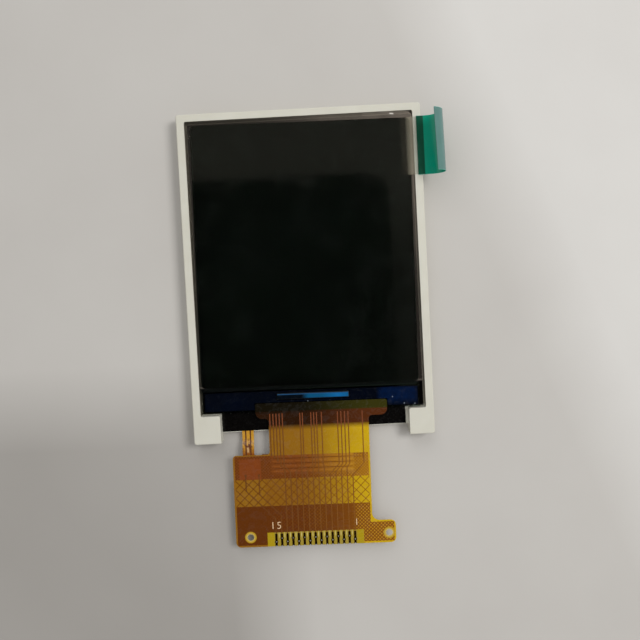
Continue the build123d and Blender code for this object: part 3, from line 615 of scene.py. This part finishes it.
clear_white = (250, 252, 252)
film_finish, tree, shader, place = start_material("clear_protective_film", clear_white, 0.03, turned=True)
film_tint = mottle(tree, place, 0.15, (252, 253, 253), (240, 244, 244))
tree.links.new(film_tint, shader.inputs["Base Color"])
shader.inputs["Transmission Weight"].default_value = 1.0
shader.inputs["IOR"].default_value = 1.45
handle(tree, shader, place, 0.2, 0.02, 0.09)

rim_finish, tree, shader, place = start_material("film_cut_rim", (190, 186, 180), 0.3, turned=True)
shader.inputs["Specular IOR Level"].default_value = 0.15
parts = split(tree, place)
# The lower edge is painted dark as painted shade, and the crease is painted bright as a painted highlight.
low_edge_painted_shade = band(tree, parts.outputs["Y"], -18, LOW_EDGE, 0.15)
crease_highlight = area(tree, parts, *CREASE_HIGHLIGHT, 0.09)
rim_colour = mottle(tree, place, 0.3, (214, 198, 180), (150, 140, 130))
rim_colour = paint(tree, rim_colour, (6, 8, 8), low_edge_painted_shade)
rim_colour = paint(tree, rim_colour, (250, 246, 236), crease_highlight)
tree.links.new(rim_colour, shader.inputs["Base Color"])
# Painted light: the rim grows whiter towards the upper right, the lamp's side.
whitish = ramp(tree, sum_up(tree, "ADD", parts.outputs["X"], parts.outputs["Y"]), 12, 37, 0.02, 0.13)
cover = sum_up(tree, "MAXIMUM", whitish, sum_up(tree, "MULTIPLY", low_edge_painted_shade, 0.45))
cover = sum_up(tree, "MAXIMUM", cover, sum_up(tree, "MULTIPLY", crease_highlight, 0.8))
tree.links.new(cover, shader.inputs["Alpha"])
handle(tree, shader, place, 0.8, 0.2, 0.4)

film_mesh = film_outline()
raise_ripple(film_mesh)
film_faces = film_mesh.faces[:]
bmesh.ops.solidify(film_mesh, geom=film_faces, thickness=FILM_HIGH.z - FILM_BASE)
bmesh.ops.recalc_face_normals(film_mesh, faces=film_mesh.faces[:])
film_low = min(vertex.co.z for vertex in film_mesh.verts)
place_in_cell(film_mesh, FILM_MIDDLE + Vector((0, 0, FILM_BASE - film_low)))
film = finish_piece(film_mesh, "lifted_film", "clear_film", film_finish, rim_finish)
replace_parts(film, "protective_film")

# %% [markdown]
# The pull tab is green film that shines. Up to the end of the clear tape that holds it, it is darker. Past
# that it is painted bright, painted light for the light that comes through it. Where it curls back it is
# paler: the eye meets its under side, with a painted reflection on it. The place across the module and the
# height above the table tell the shader which of the three it is. Its two cut ends are paler, a painted
# highlight where they catch the light. The clear tape can't be seen where it sticks to the film, and looks
# hazy where it bridges the gap to the frame.

# %% Pull tab and its tape
TAB_HELD = 17.2
TAB_CURL = 4.2
TAB_LOW = 13.07
TAB_HIGH = 21.08
TAPE_STUCK = 14.6
TAPE_BRIDGE = 15.35
TAPE_OVER_TAB = 15.9

tab_finish, tree, shader, place = start_material("green_pull_tab", (10, 140, 110), 0.16)
parts = split(tree, place)
# Painted light: past the tape the tab is painted bright for the light that comes through it.
tab_painted_light = mottle(tree, place, 0.5, (3, 152, 122), (2, 134, 108))
tab_dark = mottle(tree, place, 1.1, (10, 84, 62), (4, 62, 46))
# The curl's under side carries a painted reflection.
tab_underside_reflection = mottle(tree, place, 0.6, (92, 132, 127), (80, 118, 113))
tab_colour = paint(tree, tab_painted_light, tab_dark, band(tree, parts.outputs["X"], 10, TAB_HELD, 0.05))
tab_colour = paint(tree, tab_colour, tab_underside_reflection, band(tree, parts.outputs["Z"], TAB_CURL, 20, 0.4))
# The two cut ends get a painted highlight.
cut_low_highlight = band(tree, parts.outputs["Y"], 10, TAB_LOW, 0.02)
cut_high_highlight = band(tree, parts.outputs["Y"], TAB_HIGH, 25, 0.02)
tab_colour = paint(tree, tab_colour, (90, 200, 180), sum_up(tree, "MAXIMUM", cut_low_highlight, cut_high_highlight))
tree.links.new(tab_colour, shader.inputs["Base Color"])
handle(tree, shader, place, 0.8, 0.12, 0.24)
grain(tree, shader, place, 2.5, 0.02, 0.2)
let_light_through(tree, shader, 0.45)
dress(tab_finish, "pull_tab")

tab_tape_finish, tree, shader, place = start_material("hazy_clear_tape", (190, 182, 160), 0.2)
parts = split(tree, place)
tape_tint = mottle(tree, place, 1.0, (196, 186, 166), (178, 172, 144))
tape_tint = paint(tree, tape_tint, (120, 150, 130), band(tree, parts.outputs["X"], TAPE_OVER_TAB, 20, 0.2))
tree.links.new(tape_tint, shader.inputs["Base Color"])
haze = ramp(tree, parts.outputs["X"], TAPE_STUCK, TAPE_BRIDGE, 0.02, 0.17)
tree.links.new(haze, shader.inputs["Alpha"])
handle(tree, shader, place, 1.2, 0.12, 0.35)
dress(tab_tape_finish, "tab_tape")

# %% [markdown]
# The driver chip is bare silicon with a coated face. It mirrors whatever is above it, so half of it looks
# black and half bright blue. That reflection is painted: a ramp along the chip paints the change of tint,
# a part further right is a brighter blue, a painted highlight runs along the top edge, and the low edge is
# dark again. The clear coat on the ledge carries a blue patch, which stands for the wiring on the glass,
# and a few pale specks, which are painted highlights.

# %% Driver chip, bond films and the clear coat on the ledge
CHIP_TOP = -16.66
CHIP_LOW = -17.2
CHIP_DARK = (3, 9, 18)
BLUE_PATCH = (9.6, 14.9, -18.2, -15.9)
GLINT_SPOTS = ((11.47, -17.53), (14.6, -18.6), (-0.47, -17.7), (5.3, -16.6), (13.1, -18.5))

chip_finish, tree, shader, place = start_material("driver_chip", (20, 90, 160), 0.2, turned=True)
parts = split(tree, place)
# The chip's colours are a painted reflection, with a painted highlight along its top edge.
chip_reflection_ramp = ramp(tree, parts.outputs["X"], -1.4, -0.2)
chip_edge_highlight = band(tree, parts.outputs["Y"], CHIP_TOP, CHIP_TOP + 0.26, 0.06)
chip_end_reflection = band(tree, parts.outputs["X"], 2.6, 5.1, 1.1)
chip_low_dark_reflection = band(tree, parts.outputs["Y"], CHIP_LOW - 0.8, CHIP_LOW, 0.08)
chip_colour = paint(tree, CHIP_DARK, (7, 78, 118), chip_reflection_ramp)
chip_colour = paint(tree, chip_colour, (12, 98, 158), chip_end_reflection)
chip_colour = paint(tree, chip_colour, CHIP_DARK, chip_low_dark_reflection)
chip_colour = paint(tree, chip_colour, (34, 84, 128), chip_edge_highlight)
tree.links.new(chip_colour, shader.inputs["Base Color"])
handle(tree, shader, place, 2.0, 0.15, 0.3)
dress(chip_finish, "driver_ic")

bond_finish, tree, shader, place = start_material("bond_film", (14, 18, 26), 0.4, turned=True)
bond_colour = mottle(tree, place, 4, (17, 22, 32), (10, 12, 18))
tree.links.new(bond_colour, shader.inputs["Base Color"])
dress(bond_finish, "ic_bond_film", "flex_bond_film")

coat_finish, tree, shader, place = start_material("clear_ledge_coat", (6, 14, 30), 0.12, turned=True)
parts = split(tree, place)
coat_colour = mottle(tree, place, 0.5, (5, 12, 28), (7, 9, 15))
patch = area(tree, parts, *BLUE_PATCH, 0.5)
patch_colour = mottle(tree, place, 1.6, (9, 34, 76), (5, 13, 32))
coat_colour = paint(tree, coat_colour, patch_colour, patch)
# The pale specks are painted highlights.
for glint_x, glint_y in GLINT_SPOTS:
    coat_colour = paint(tree, coat_colour, (150, 160, 170), spot(tree, parts, glint_x, glint_y, 0.07))
tree.links.new(coat_colour, shader.inputs["Base Color"])
shader.inputs["Alpha"].default_value = 0.8
handle(tree, shader, place, 1.2, 0.06, 0.3)
dress(coat_finish, "ledge_sealant")

# %% [markdown]
# The flex is the piece with the most to see. It is amber polyimide film with copper on both faces. Light
# from the table comes back through the film, so it looks yellow where there is no copper behind, brown
# where the copper is dense, and dark over the black tape and the glass. All of that light and shade is
# painted on the base film with the masks, and so is a soft painted shadow along the tape's edge. The numbers
# are places in the cell's directions, in millimetres from the middle of the module. The side towards the
# lamp is painted lighter, as painted light, so each colour is a pair that is mixed from left to right.

# %% Amber base film with the copper that shows through it
FILM_AMBER = (186, 146, 22)
GLASS_EDGE = -19.01
SHIELD_END = -21.2
BODY_TOP = -25.11
MESH_TOP = -28.6
LOWER_TOP = -32.45
FLEX_END = -38.26
BODY_LEFT = -11.45
BODY_RIGHT = 8.0
EAR_RIGHT = 11.3
EAR_TOP = -35.01
BARE_EDGE = 0.24
HOLES = ((-9.35, -36.86), (10.33, -36.86))
PAD_MIDDLE = -0.12
PAD_PITCH = 0.8
PAD_ROW_HALF = 5.9
WINDOW_HALF = 6.85
ROW_AREA = (-5.9, 5.6, -27.9, BODY_TOP - 0.1)
LAND_AREA = (-10.6, -7.5, -28.6, -25.68)
DOT_AREA = (5.5, 7.2, -26.1, -25.3)
MESH_PITCH = 1.27
MESH_LINE = 0.13
MESH_RISE_START = 41.836
MESH_FALL_START = 21.876
BEHIND_AREA = (-7.0, 5.3, LOWER_TOP, MESH_TOP)
RIGHT_HATCH = (5.6, 12, -40, LOWER_TOP)
LEFT_HATCH = (-6.5, 1.0, -36.0, LOWER_TOP)


def sided(tree, lamp_side_light, left, right):
    """Mix two colours from the flex's left to its right: painted light that grows towards the lamp."""
    return paint(tree, left, right, lamp_side_light)


def flex_pattern(tree, place):
    """Paint the bands, rows, mesh, hatch and rings of the flex and return the colour."""
    parts = split(tree, place)
    across = parts.outputs["X"]
    along = parts.outputs["Y"]
    rising = sum_up(tree, "ADD", across, along)
    falling = sum_up(tree, "SUBTRACT", across, along)
    # Painted light: each pair of colours grows lighter towards the lamp's side on the right.
    lamp_side_light = ramp(tree, across, -2.5, 9)

    amber = sided(tree, lamp_side_light, (148, 105, 18), (214, 180, 4))
    deep_amber = sided(tree, lamp_side_light, (135, 90, 14), (196, 158, 4))
    clouds = tree.nodes.new("ShaderNodeTexNoise")
    clouds.inputs["Scale"].default_value = 0.5
    clouds.inputs["Detail"].default_value = 3
    tree.links.new(place, clouds.inputs["Vector"])
    colour = paint(tree, amber, deep_amber, clouds.outputs["Fac"])

    left = BODY_LEFT + BARE_EDGE
    right = BODY_RIGHT - BARE_EDGE
    low = FLEX_END + BARE_EDGE
    body = area(tree, parts, left, right, low, BODY_TOP - 0.16)
    ear = area(tree, parts, BODY_RIGHT - 1, EAR_RIGHT - BARE_EDGE, low, EAR_TOP - BARE_EDGE)
    copper = sum_up(tree, "MAXIMUM", body, ear)

    dense = sided(tree, lamp_side_light, (118, 60, 20), (192, 138, 26))
    line_dark = sided(tree, lamp_side_light, (84, 35, 9), (134, 82, 12))
    line_light = sided(tree, lamp_side_light, (134, 73, 28), (200, 146, 40))

    upper = area(tree, parts, BODY_LEFT, BODY_RIGHT, MESH_TOP, BODY_TOP + 0.05, 0.04)
    upper = sum_up(tree, "MULTIPLY", upper, copper)
    colour = paint(tree, colour, dense, upper)
    fine_rise = lines(tree, rising, 0.42, 0.12)
    fine_fall = lines(tree, falling, 0.42, 0.12)
    fine = sum_up(tree, "MAXIMUM", fine_rise, fine_fall)
    colour = paint(tree, colour, line_dark, sum_up(tree, "MULTIPLY", fine, upper))
    rows = lines(tree, along, 0.36, 0.13)
    leaning = sum_up(tree, "ADD", across, sum_up(tree, "MULTIPLY", along, 0.6))
    row_breaks = lines(tree, leaning, 2.3, 2.0)
    rows = sum_up(tree, "MULTIPLY", rows, row_breaks)
    row_area = sum_up(tree, "MULTIPLY", area(tree, parts, *ROW_AREA, 0.3), upper)
    colour = paint(tree, colour, dense, row_area)
    colour = paint(tree, colour, line_light, sum_up(tree, "MULTIPLY", rows, row_area))
    darker_rows = lines(tree, sum_up(tree, "ADD", along, 0.17), 0.72, 0.12)
    colour = paint(tree, colour, line_dark, sum_up(tree, "MULTIPLY", darker_rows, row_area))
    land_colour = mottle(tree, place, 1.5, (130, 62, 26), (114, 50, 20))
    colour = paint(tree, colour, land_colour, area(tree, parts, *LAND_AREA, 0.06))
    dots = sum_up(tree, "MULTIPLY", lines(tree, across, 0.4, 0.22), lines(tree, along, 0.4, 0.22))
    dots = sum_up(tree, "MULTIPLY", dots, area(tree, parts, *DOT_AREA))
    colour = paint(tree, colour, line_dark, dots)

    mesh_band = area(tree, parts, left, right, LOWER_TOP, MESH_TOP)
    mesh_rise = lines(tree, sum_up(tree, "ADD", rising, MESH_RISE_START), MESH_PITCH, MESH_LINE)
    mesh_fall = lines(tree, sum_up(tree, "SUBTRACT", falling, MESH_FALL_START), MESH_PITCH, MESH_LINE)
    mesh_lines = sum_up(tree, "MAXIMUM", mesh_rise, mesh_fall)
    colour = paint(tree, colour, line_dark, sum_up(tree, "MULTIPLY", mesh_lines, mesh_band))
    behind = area(tree, parts, *BEHIND_AREA, 0.2)
    behind_colour = sided(tree, lamp_side_light, (122, 74, 14), (172, 122, 14))
    colour = paint(tree, colour, behind_colour, sum_up(tree, "MULTIPLY", behind, 0.45))

    solid = sided(tree, lamp_side_light, (86, 37, 7), (124, 70, 10))
    lower = sum_up(tree, "MULTIPLY", copper, band(tree, along, FLEX_END - 1, LOWER_TOP, 0.03))
    colour = paint(tree, colour, solid, lower)
    hatch = sum_up(tree, "MULTIPLY", lines(tree, rising, 0.5, 0.3), lines(tree, falling, 0.5, 0.3))
    right_hatch = area(tree, parts, *RIGHT_HATCH, 0.5)
    left_hatch = area(tree, parts, *LEFT_HATCH, 0.8)
    hatch_area = sum_up(tree, "MULTIPLY", sum_up(tree, "MAXIMUM", right_hatch, left_hatch), lower)
    hatch_colour = sided(tree, lamp_side_light, (102, 49, 12), (186, 136, 30))
    colour = paint(tree, colour, hatch_colour, sum_up(tree, "MULTIPLY", hatch, hatch_area))

    window_left = PAD_MIDDLE - WINDOW_HALF
    window_right = PAD_MIDDLE + WINDOW_HALF
    window = area(tree, parts, window_left, window_right, FLEX_END - 1, FLEX_END + 2.0)
    colour = paint(tree, colour, (160, 138, 44), window)
    pad_row = area(tree, parts, PAD_MIDDLE - PAD_ROW_HALF, PAD_MIDDLE + PAD_ROW_HALF, FLEX_END - 1, -35)
    ends = sum_up(tree, "SUBTRACT", window, pad_row)
    colour = paint(tree, colour, (170, 144, 14), sum_up(tree, "MAXIMUM", ends, 0))
    glints = lines(tree, sum_up(tree, "SUBTRACT", across, PAD_MIDDLE), PAD_PITCH, 0.1)
    glint_area = area(tree, parts, PAD_MIDDLE - 5.6, PAD_MIDDLE + 5.6, -37.0, FLEX_END + 1.9, 0.2)
    colour = paint(tree, colour, (208, 190, 120), sum_up(tree, "MULTIPLY", glints, glint_area))

    for hole_x, hole_y in HOLES:
        colour = paint(tree, colour, (186, 152, 34), spot(tree, parts, hole_x, hole_y, 0.82))
        colour = paint(tree, colour, (206, 186, 110), spot(tree, parts, hole_x, hole_y, 0.58, 0.12))

    # Painted shade over the black tape, fading softly like a shadow at its lower edge, and darker over the
    # glass.
    over_tape = band(tree, along, SHIELD_END - 0.1, GLASS_EDGE + 0.5, 0.4)
    tape_shade = sided(tree, lamp_side_light, (36, 18, 4), (84, 40, 10))
    colour = paint(tree, colour, tape_shade, over_tape)
    over_glass = band(tree, along, GLASS_EDGE, -17.0, 0.1)
    olive = sided(tree, lamp_side_light, (20, 15, 4), (52, 50, 5))
    return paint(tree, colour, olive, over_glass)


base_film_finish, tree, shader, place = start_material("amber_base_film", FILM_AMBER, 0.3, turned=True)
tree.links.new(flex_pattern(tree, place), shader.inputs["Base Color"])
handle(tree, shader, place, 1.0, 0.22, 0.4)
grain(tree, shader, place, 6, 0.004)
let_light_through(tree, shader, 0.75)
dress(base_film_finish, "flex_base")

# %% [markdown]
# The cover films are the same amber and so thin that the copper shows. The front cover keeps a low alpha
# over the real traces, and only on its outer side. Its inner faces lie exactly on the film and the copper,
# and two faces in one place give dark patches. So a copy of the cover, pressed down by two thousandths of a
# millimetre, stands for it, and the faces no longer coincide. Its low roughness gives the flex its shine.
# The back cover is seen from below, and takes the painted pattern too.

# %% Cover films
COVER_PRESS = 0.002 * MM

cover_finish, tree, shader, place = start_material("amber_cover_film", (150, 92, 14), 0.18, turned=True)
cover_colour = mottle(tree, place, 1.2, (158, 100, 18), (136, 78, 12))
parts = split(tree, place)
# Painted shade: over the black tape and the glass the cover is painted darker, as no light comes from behind.
over_dark_shade = band(tree, parts.outputs["Y"], SHIELD_END - 0.1, -15, 0.4)
cover_colour = paint(tree, cover_colour, (70, 34, 8), over_dark_shade)
tree.links.new(cover_colour, shader.inputs["Base Color"])
shader.inputs["Specular IOR Level"].default_value = 0.35
sides = tree.nodes.new("ShaderNodeNewGeometry")
thin = ramp(tree, sides.outputs["Backfacing"], 0, 1, 0.14, 0, soft=False)
tree.links.new(thin, shader.inputs["Alpha"])
handle(tree, shader, place, 0.8, 0.12, 0.3)
grain(tree, shader, place, 3, 0.006, 0.3)
dress(cover_finish, "flex_front_cover")


def pressed_cover():
    """Copy the front cover's solid and press the copy a little into the film and the copper below it."""
    mesh = bmesh.new()
    mesh.from_mesh(pieces["flex_front_cover"].data)
    bmesh.ops.remove_doubles(mesh, verts=mesh.verts, dist=1e-7)
    for face in mesh.faces:
        face.smooth = False
    bmesh.ops.translate(mesh, vec=(0, 0, -COVER_PRESS), verts=mesh.verts)
    return finish_piece(mesh, "pressed_front_cover", "polyimide", cover_finish)


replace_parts(pressed_cover(), "flex_front_cover")

back_cover_finish, tree, shader, place = start_material("amber_back_cover", FILM_AMBER, 0.25, turned=True)
tree.links.new(flex_pattern(tree, place), shader.inputs["Base Color"])
handle(tree, shader, place, 0.8, 0.18, 0.35)
grain(tree, shader, place, 3, 0.006, 0.3)
let_light_through(tree, shader, 0.9)
dress(back_cover_finish, "flex_back_cover")

# %% [markdown]
# The copper lies under the amber film, so it gets the brown that shows there. It is painted darker on the
# left, away from the lamp, as painted shade, and lighter over the shield tape, as a painted reflection. The
# pads are bare and gold plated. The solder that joins the two flexes is dull grey metal.

# %% Copper, gold pads and solder
copper_finish, tree, shader, place = start_material("copper_traces", (146, 86, 28), 0.4, turned=True)
parts = split(tree, place)
# Painted light: the copper is darker on the left, away from the lamp.
copper_lamp_light = ramp(tree, parts.outputs["X"], BODY_LEFT, BODY_RIGHT, soft=False)
copper_left = mottle(tree, place, 2, (90, 44, 12), (78, 35, 9))
copper_right = mottle(tree, place, 2, (142, 88, 16), (122, 72, 12))
copper_colour = sided(tree, copper_lamp_light, copper_left, copper_right)
# Painted reflection: over the shield tape the copper is painted lighter.
over_shield_reflection = band(tree, parts.outputs["Y"], SHIELD_END, -17, 0.12)
copper_colour = paint(tree, copper_colour, (128, 66, 30), over_shield_reflection)
tree.links.new(copper_colour, shader.inputs["Base Color"])
handle(tree, shader, place, 2, 0.35, 0.5)
dress(copper_finish, "signal_traces", "back_traces", "ground_copper", "plated_vias", "led_flex_traces")

gold_finish, tree, shader, place = start_material("gold_plated_pads", (190, 130, 60), 0.2, turned=True)
gold_colour = mottle(tree, place, 3, (196, 138, 66), (170, 110, 46))
tree.links.new(gold_colour, shader.inputs["Base Color"])
shader.inputs["Metallic"].default_value = 1.0
handle(tree, shader, place, 3, 0.15, 0.3)
dress(gold_finish, "contact_pads")

solder_finish, tree, shader, place = start_material("solder", (176, 176, 172), 0.35)
solder_colour = mottle(tree, place, 4, (186, 186, 182), (150, 150, 148))
tree.links.new(solder_colour, shader.inputs["Base Color"])
shader.inputs["Metallic"].default_value = 0.9
handle(tree, shader, place, 5, 0.28, 0.5)
dress(solder_finish, "tail_solder")

# %% [markdown]
# The backlight's own flex is single sided, so its tail is lighter and yellower than the main flex, with two
# copper lines along it. Towards the main flex it is darker, with the stain of a soldered joint and a pale
# streak.

# %% Backlight flex
JOINT_X = -9.6
JOINT_Y = -23.7
TAIL_DARK = -24.3
STREAK = (-9.62, -9.42, -24.6, -23.9)

tail_finish, tree, shader, place = start_material("amber_tail_film", (190, 152, 60), 0.25)
parts = split(tree, place)
tail_colour = mottle(tree, place, 0.9, (200, 152, 50), (182, 128, 34))
near_body = band(tree, parts.outputs["Y"], -40, TAIL_DARK, 0.7)
tail_colour = paint(tree, tail_colour, (132, 68, 20), near_body)
flux_area = spot(tree, parts, JOINT_X, JOINT_Y, 0.75, 0.5)
flux_noise = tree.nodes.new("ShaderNodeTexNoise")
flux_noise.inputs["Scale"].default_value = 2.2
flux_noise.inputs["Detail"].default_value = 3
tree.links.new(place, flux_noise.inputs["Vector"])
flux_edge = band(tree, flux_noise.outputs["Fac"], 0.5, 2, 0.06)
flux = sum_up(tree, "MULTIPLY", flux_edge, flux_area)
tail_colour = paint(tree, tail_colour, (86, 30, 12), flux)
streak = area(tree, parts, *STREAK, 0.1)
tail_colour = paint(tree, tail_colour, (206, 168, 120), streak)
tree.links.new(tail_colour, shader.inputs["Base Color"])
let_light_through(tree, shader, 0.5)
handle(tree, shader, place, 1.2, 0.18, 0.35)
grain(tree, shader, place, 4, 0.005)
dress(tail_finish, "led_flex")

# %% [markdown]
# Two plain numbers are printed on the flex beside the pads, to tell the ends of the row apart. Blender's
# own text object gives them. It becomes a mesh before it is moved into place, so that the printed piece
# sits at the origin like all the others. Each print is less than a hundredth of a millimetre thick.

# %% Printed pin numbers
PRINT_BASE = 1.771 * MM
PRINT_HALF = 0.004 * MM
CAP_SHARE = 0.69
DIGIT_SPACE = 1.2
DIGIT_THINNING = 0.016

print_finish, tree, shader, place = start_material("printed_ink", (232, 200, 160), 0.5, turned=True)
ink_colour = mottle(tree, place, 6, (238, 208, 170), (220, 184, 140))
tree.links.new(ink_colour, shader.inputs["Base Color"])


def print_number(text, left, low, height):
    """Print a number with its lower left corner at this place in the cell's directions."""
    curve = bpy.data.curves.new("pin_number_" + text, "FONT")
    curve.body = text
    curve.size = height * MM / CAP_SHARE
    curve.extrude = PRINT_HALF
    curve.resolution_u = 4
    curve.space_character = DIGIT_SPACE
    curve.offset = -DIGIT_THINNING * height * MM
    holder = bpy.data.objects.new("pin_number_" + text, curve)
    bpy.context.scene.collection.objects.link(holder)
    bpy.context.view_layer.update()
    data = bpy.data.meshes.new_from_object(holder)
    bpy.data.objects.remove(holder)
    mesh = bmesh.new()
    mesh.from_mesh(data)
    corner_x = min(vertex.co.x for vertex in mesh.verts)
    corner_y = min(vertex.co.y for vertex in mesh.verts)
    shift = Vector((left * MM - corner_x, low * MM - corner_y, PRINT_BASE + PRINT_HALF))
    place_in_cell(mesh, shift)
    return finish_piece(mesh, "printed_" + text, "coat", print_finish)


print_number("15", -6.2, -35.75, 1.02)
print_number("1", 5.7, -35.6, 0.95)

# %% [markdown]
# The table is plain and pale. A very soft noise keeps it from looking like paper on a screen. It is painted
# a little brighter on the lamp's side, as a painted pool of light, and greyer in the near left corner, as the
# painted shadow of something out of the picture that takes some of the light.

# %% Table
TABLE_HALF = 1.5
FAR = 4000

table_finish, tree, shader, place = start_material("pale_table", (200, 197, 192), 0.75)
parts = split(tree, place)
slant = sum_up(tree, "ADD", parts.outputs["X"], sum_up(tree, "MULTIPLY", parts.outputs["Y"], 0.4))
table_colour = mottle(tree, place, 0.05, (196, 193, 188), (186, 182, 177))
# A painted pool of light on the lamp's side and a painted shadow in the near left corner.
table_painted_light = mottle(tree, place, 0.05, (213, 211, 207), (203, 200, 196))
table_painted_shadow = mottle(tree, place, 0.05, (162, 158, 153), (154, 150, 145))
nearby = spot(tree, parts, 0, -8, 100, 45)
painted_light_area = sum_up(tree, "MULTIPLY", band(tree, slant, 33, FAR, 6), nearby)
table_colour = paint(tree, table_colour, table_painted_light, painted_light_area)
painted_shadow_area = sum_up(tree, "MULTIPLY", area(tree, parts, -FAR, -7, -FAR, -17.5, 6), nearby)
table_colour = paint(tree, table_colour, table_painted_shadow, painted_shadow_area)
tree.links.new(table_colour, shader.inputs["Base Color"])
grain(tree, shader, place, 1.2, 0.05, 0.15)

table_mesh = bmesh.new()
bmesh.ops.create_grid(table_mesh, x_segments=1, y_segments=1, size=TABLE_HALF)
table_data = bpy.data.meshes.new("table")
table_mesh.to_mesh(table_data)
table_mesh.free()
table = bpy.data.objects.new("table", table_data)
bpy.context.scene.collection.objects.link(table)
table_data.materials.append(table_finish)
print("table", 2 * TABLE_HALF, "m wide")

# %% [markdown]
# The light is a large soft lamp from the right and a little from the top of the picture, about 55 degrees
# up: the shadows on the table give its direction. A second, weaker lamp fills from the top of the picture.
# The world gives the rest as an even light, and the camera sees it as a plain pale backdrop. Mirror rays
# see something else: a warmer sky that is pale near the horizon and dim overhead, so that the flat screen,
# which mirrors what is straight above it, stays dark. They also see a darker shape there, with a softly
# rounded corner, which gives the screen its lit top and its faintly lit right side.

# %% Lamps and world
def soft_lamp(name, azimuth, elevation, distance, size, watts, colour):
    """Hang a square area lamp that points at the module."""
    data = bpy.data.lights.new(name, "AREA")
    data.shape = "SQUARE"
    data.size = size
    data.energy = watts
    data.color = colour
    lamp = bpy.data.objects.new(name, data)
    bpy.context.scene.collection.objects.link(lamp)
    turn = math.radians(azimuth)
    rise = math.radians(elevation)
    toward = Vector((math.cos(rise) * math.cos(turn), math.cos(rise) * math.sin(turn), math.sin(rise)))
    lamp.location = toward * distance
    lamp.rotation_euler = (-toward).to_track_quat("-Z", "Y").to_euler()


soft_lamp("main_lamp", 20, 55, 0.45, 0.16, 1.0, (1.0, 0.995, 0.985))
soft_lamp("fill_lamp", 100, 40, 0.8, 0.5, 1.3, (0.97, 0.985, 1.0))

CARD_CORNER = (0.062, 0.134, 0)
CARD_NEAR = 0.039
CARD_PAST = 0.051

world = bpy.data.worlds.new("soft_room")
bpy.context.scene.world = world
world.use_nodes = True
tree = world.node_tree
background = tree.nodes["Background"]
sky = tree.nodes.new("ShaderNodeTexCoord")
parts = split(tree, sky.outputs["Generated"])
height = ramp(tree, parts.outputs["Z"], 0.45, 0.92, 0.6, 0.1)

steep = sum_up(tree, "MAXIMUM", parts.outputs["Z"], 0.05)
up_slope = sum_up(tree, "DIVIDE", parts.outputs["Y"], steep)
slope = tree.nodes.new("ShaderNodeCombineXYZ")
tree.links.new(sum_up(tree, "DIVIDE", parts.outputs["X"], steep), slope.inputs["X"])
tree.links.new(up_slope, slope.inputs["Y"])
past_card = math_node(tree, "SUBTRACT", "VectorMath")
past_card.inputs[1].default_value = CARD_CORNER
tree.links.new(slope.outputs["Vector"], past_card.inputs[0])
outside = math_node(tree, "MAXIMUM", "VectorMath")
outside.inputs[1].default_value = (0, 0, 0)
tree.links.new(past_card.outputs["Vector"], outside.inputs[0])
reach = math_node(tree, "LENGTH", "VectorMath")
tree.links.new(outside.outputs["Vector"], reach.inputs[0])
card = ramp(tree, reach.outputs["Value"], CARD_NEAR, CARD_PAST, 0.012)
low_sky = ramp(tree, parts.outputs["Z"], 0.8, 0.6)
upper = ramp(tree, up_slope, 0.03, 0.17, 0.3, soft=False)
past_dark = sum_up(tree, "MAXIMUM", sum_up(tree, "MULTIPLY", card, upper), low_sky)
mirrored = sum_up(tree, "MULTIPLY", height, past_dark)

paths = tree.nodes.new("ShaderNodeLightPath")
glossy = tree.nodes.new("ShaderNodeMix")
glossy.data_type = "FLOAT"
glossy.inputs["A"].default_value = 0.5
tree.links.new(paths.outputs["Is Glossy Ray"], glossy.inputs["Factor"])
tree.links.new(mirrored, glossy.inputs["B"])
strength = tree.nodes.new("ShaderNodeMix")
strength.data_type = "FLOAT"
tree.links.new(paths.outputs["Is Camera Ray"], strength.inputs["Factor"])
tree.links.new(glossy.outputs["Result"], strength.inputs["A"])
strength.inputs["B"].default_value = 0.85
tree.links.new(strength.outputs["Result"], background.inputs["Strength"])
tint = tree.nodes.new("ShaderNodeMix")
tint.data_type = "RGBA"
tint.inputs["A"].default_value = (1.0, 0.995, 0.985, 1.0)
tint.inputs["B"].default_value = (1.0, 0.92, 0.74, 1.0)
tree.links.new(paths.outputs["Is Glossy Ray"], tint.inputs["Factor"])
tree.links.new(tint.outputs["Result"], background.inputs["Color"])
print("world and", len(bpy.data.lights), "lamps")

# %% [markdown]
# The camera stands nearly straight above the module, 97 mm from the table, turned a little. Its place was
# worked out from the corners of the frame in the photograph, so the three directions are written down as
# they came out and put together as a matrix.

# %% Camera
CAMERA_PLACE = Vector((2.154, -3.190, 97.234)) * MM

camera_data = bpy.data.cameras.new("camera")
camera_data.sensor_width = 36
camera_data.lens = 38.25
camera_data.clip_start = 0.002
camera_data.clip_end = 10
camera = bpy.data.objects.new("camera", camera_data)
bpy.context.scene.collection.objects.link(camera)
camera_right = Vector((0.99864936, -0.05180227, -0.00399782))
camera_up = Vector((0.05164045, 0.99810718, -0.03339644))
camera_back = Vector((0.00572026, 0.03314488, 0.99943419))
turned = Matrix((camera_right, camera_up, camera_back)).transposed().to_4x4()
camera.matrix_world = Matrix.Translation(CAMERA_PLACE) @ turned
bpy.context.scene.camera = camera
bpy.context.scene.view_settings.view_transform = "Standard"
print("camera", round(CAMERA_PLACE.z / MM, 1), "mm above the table")
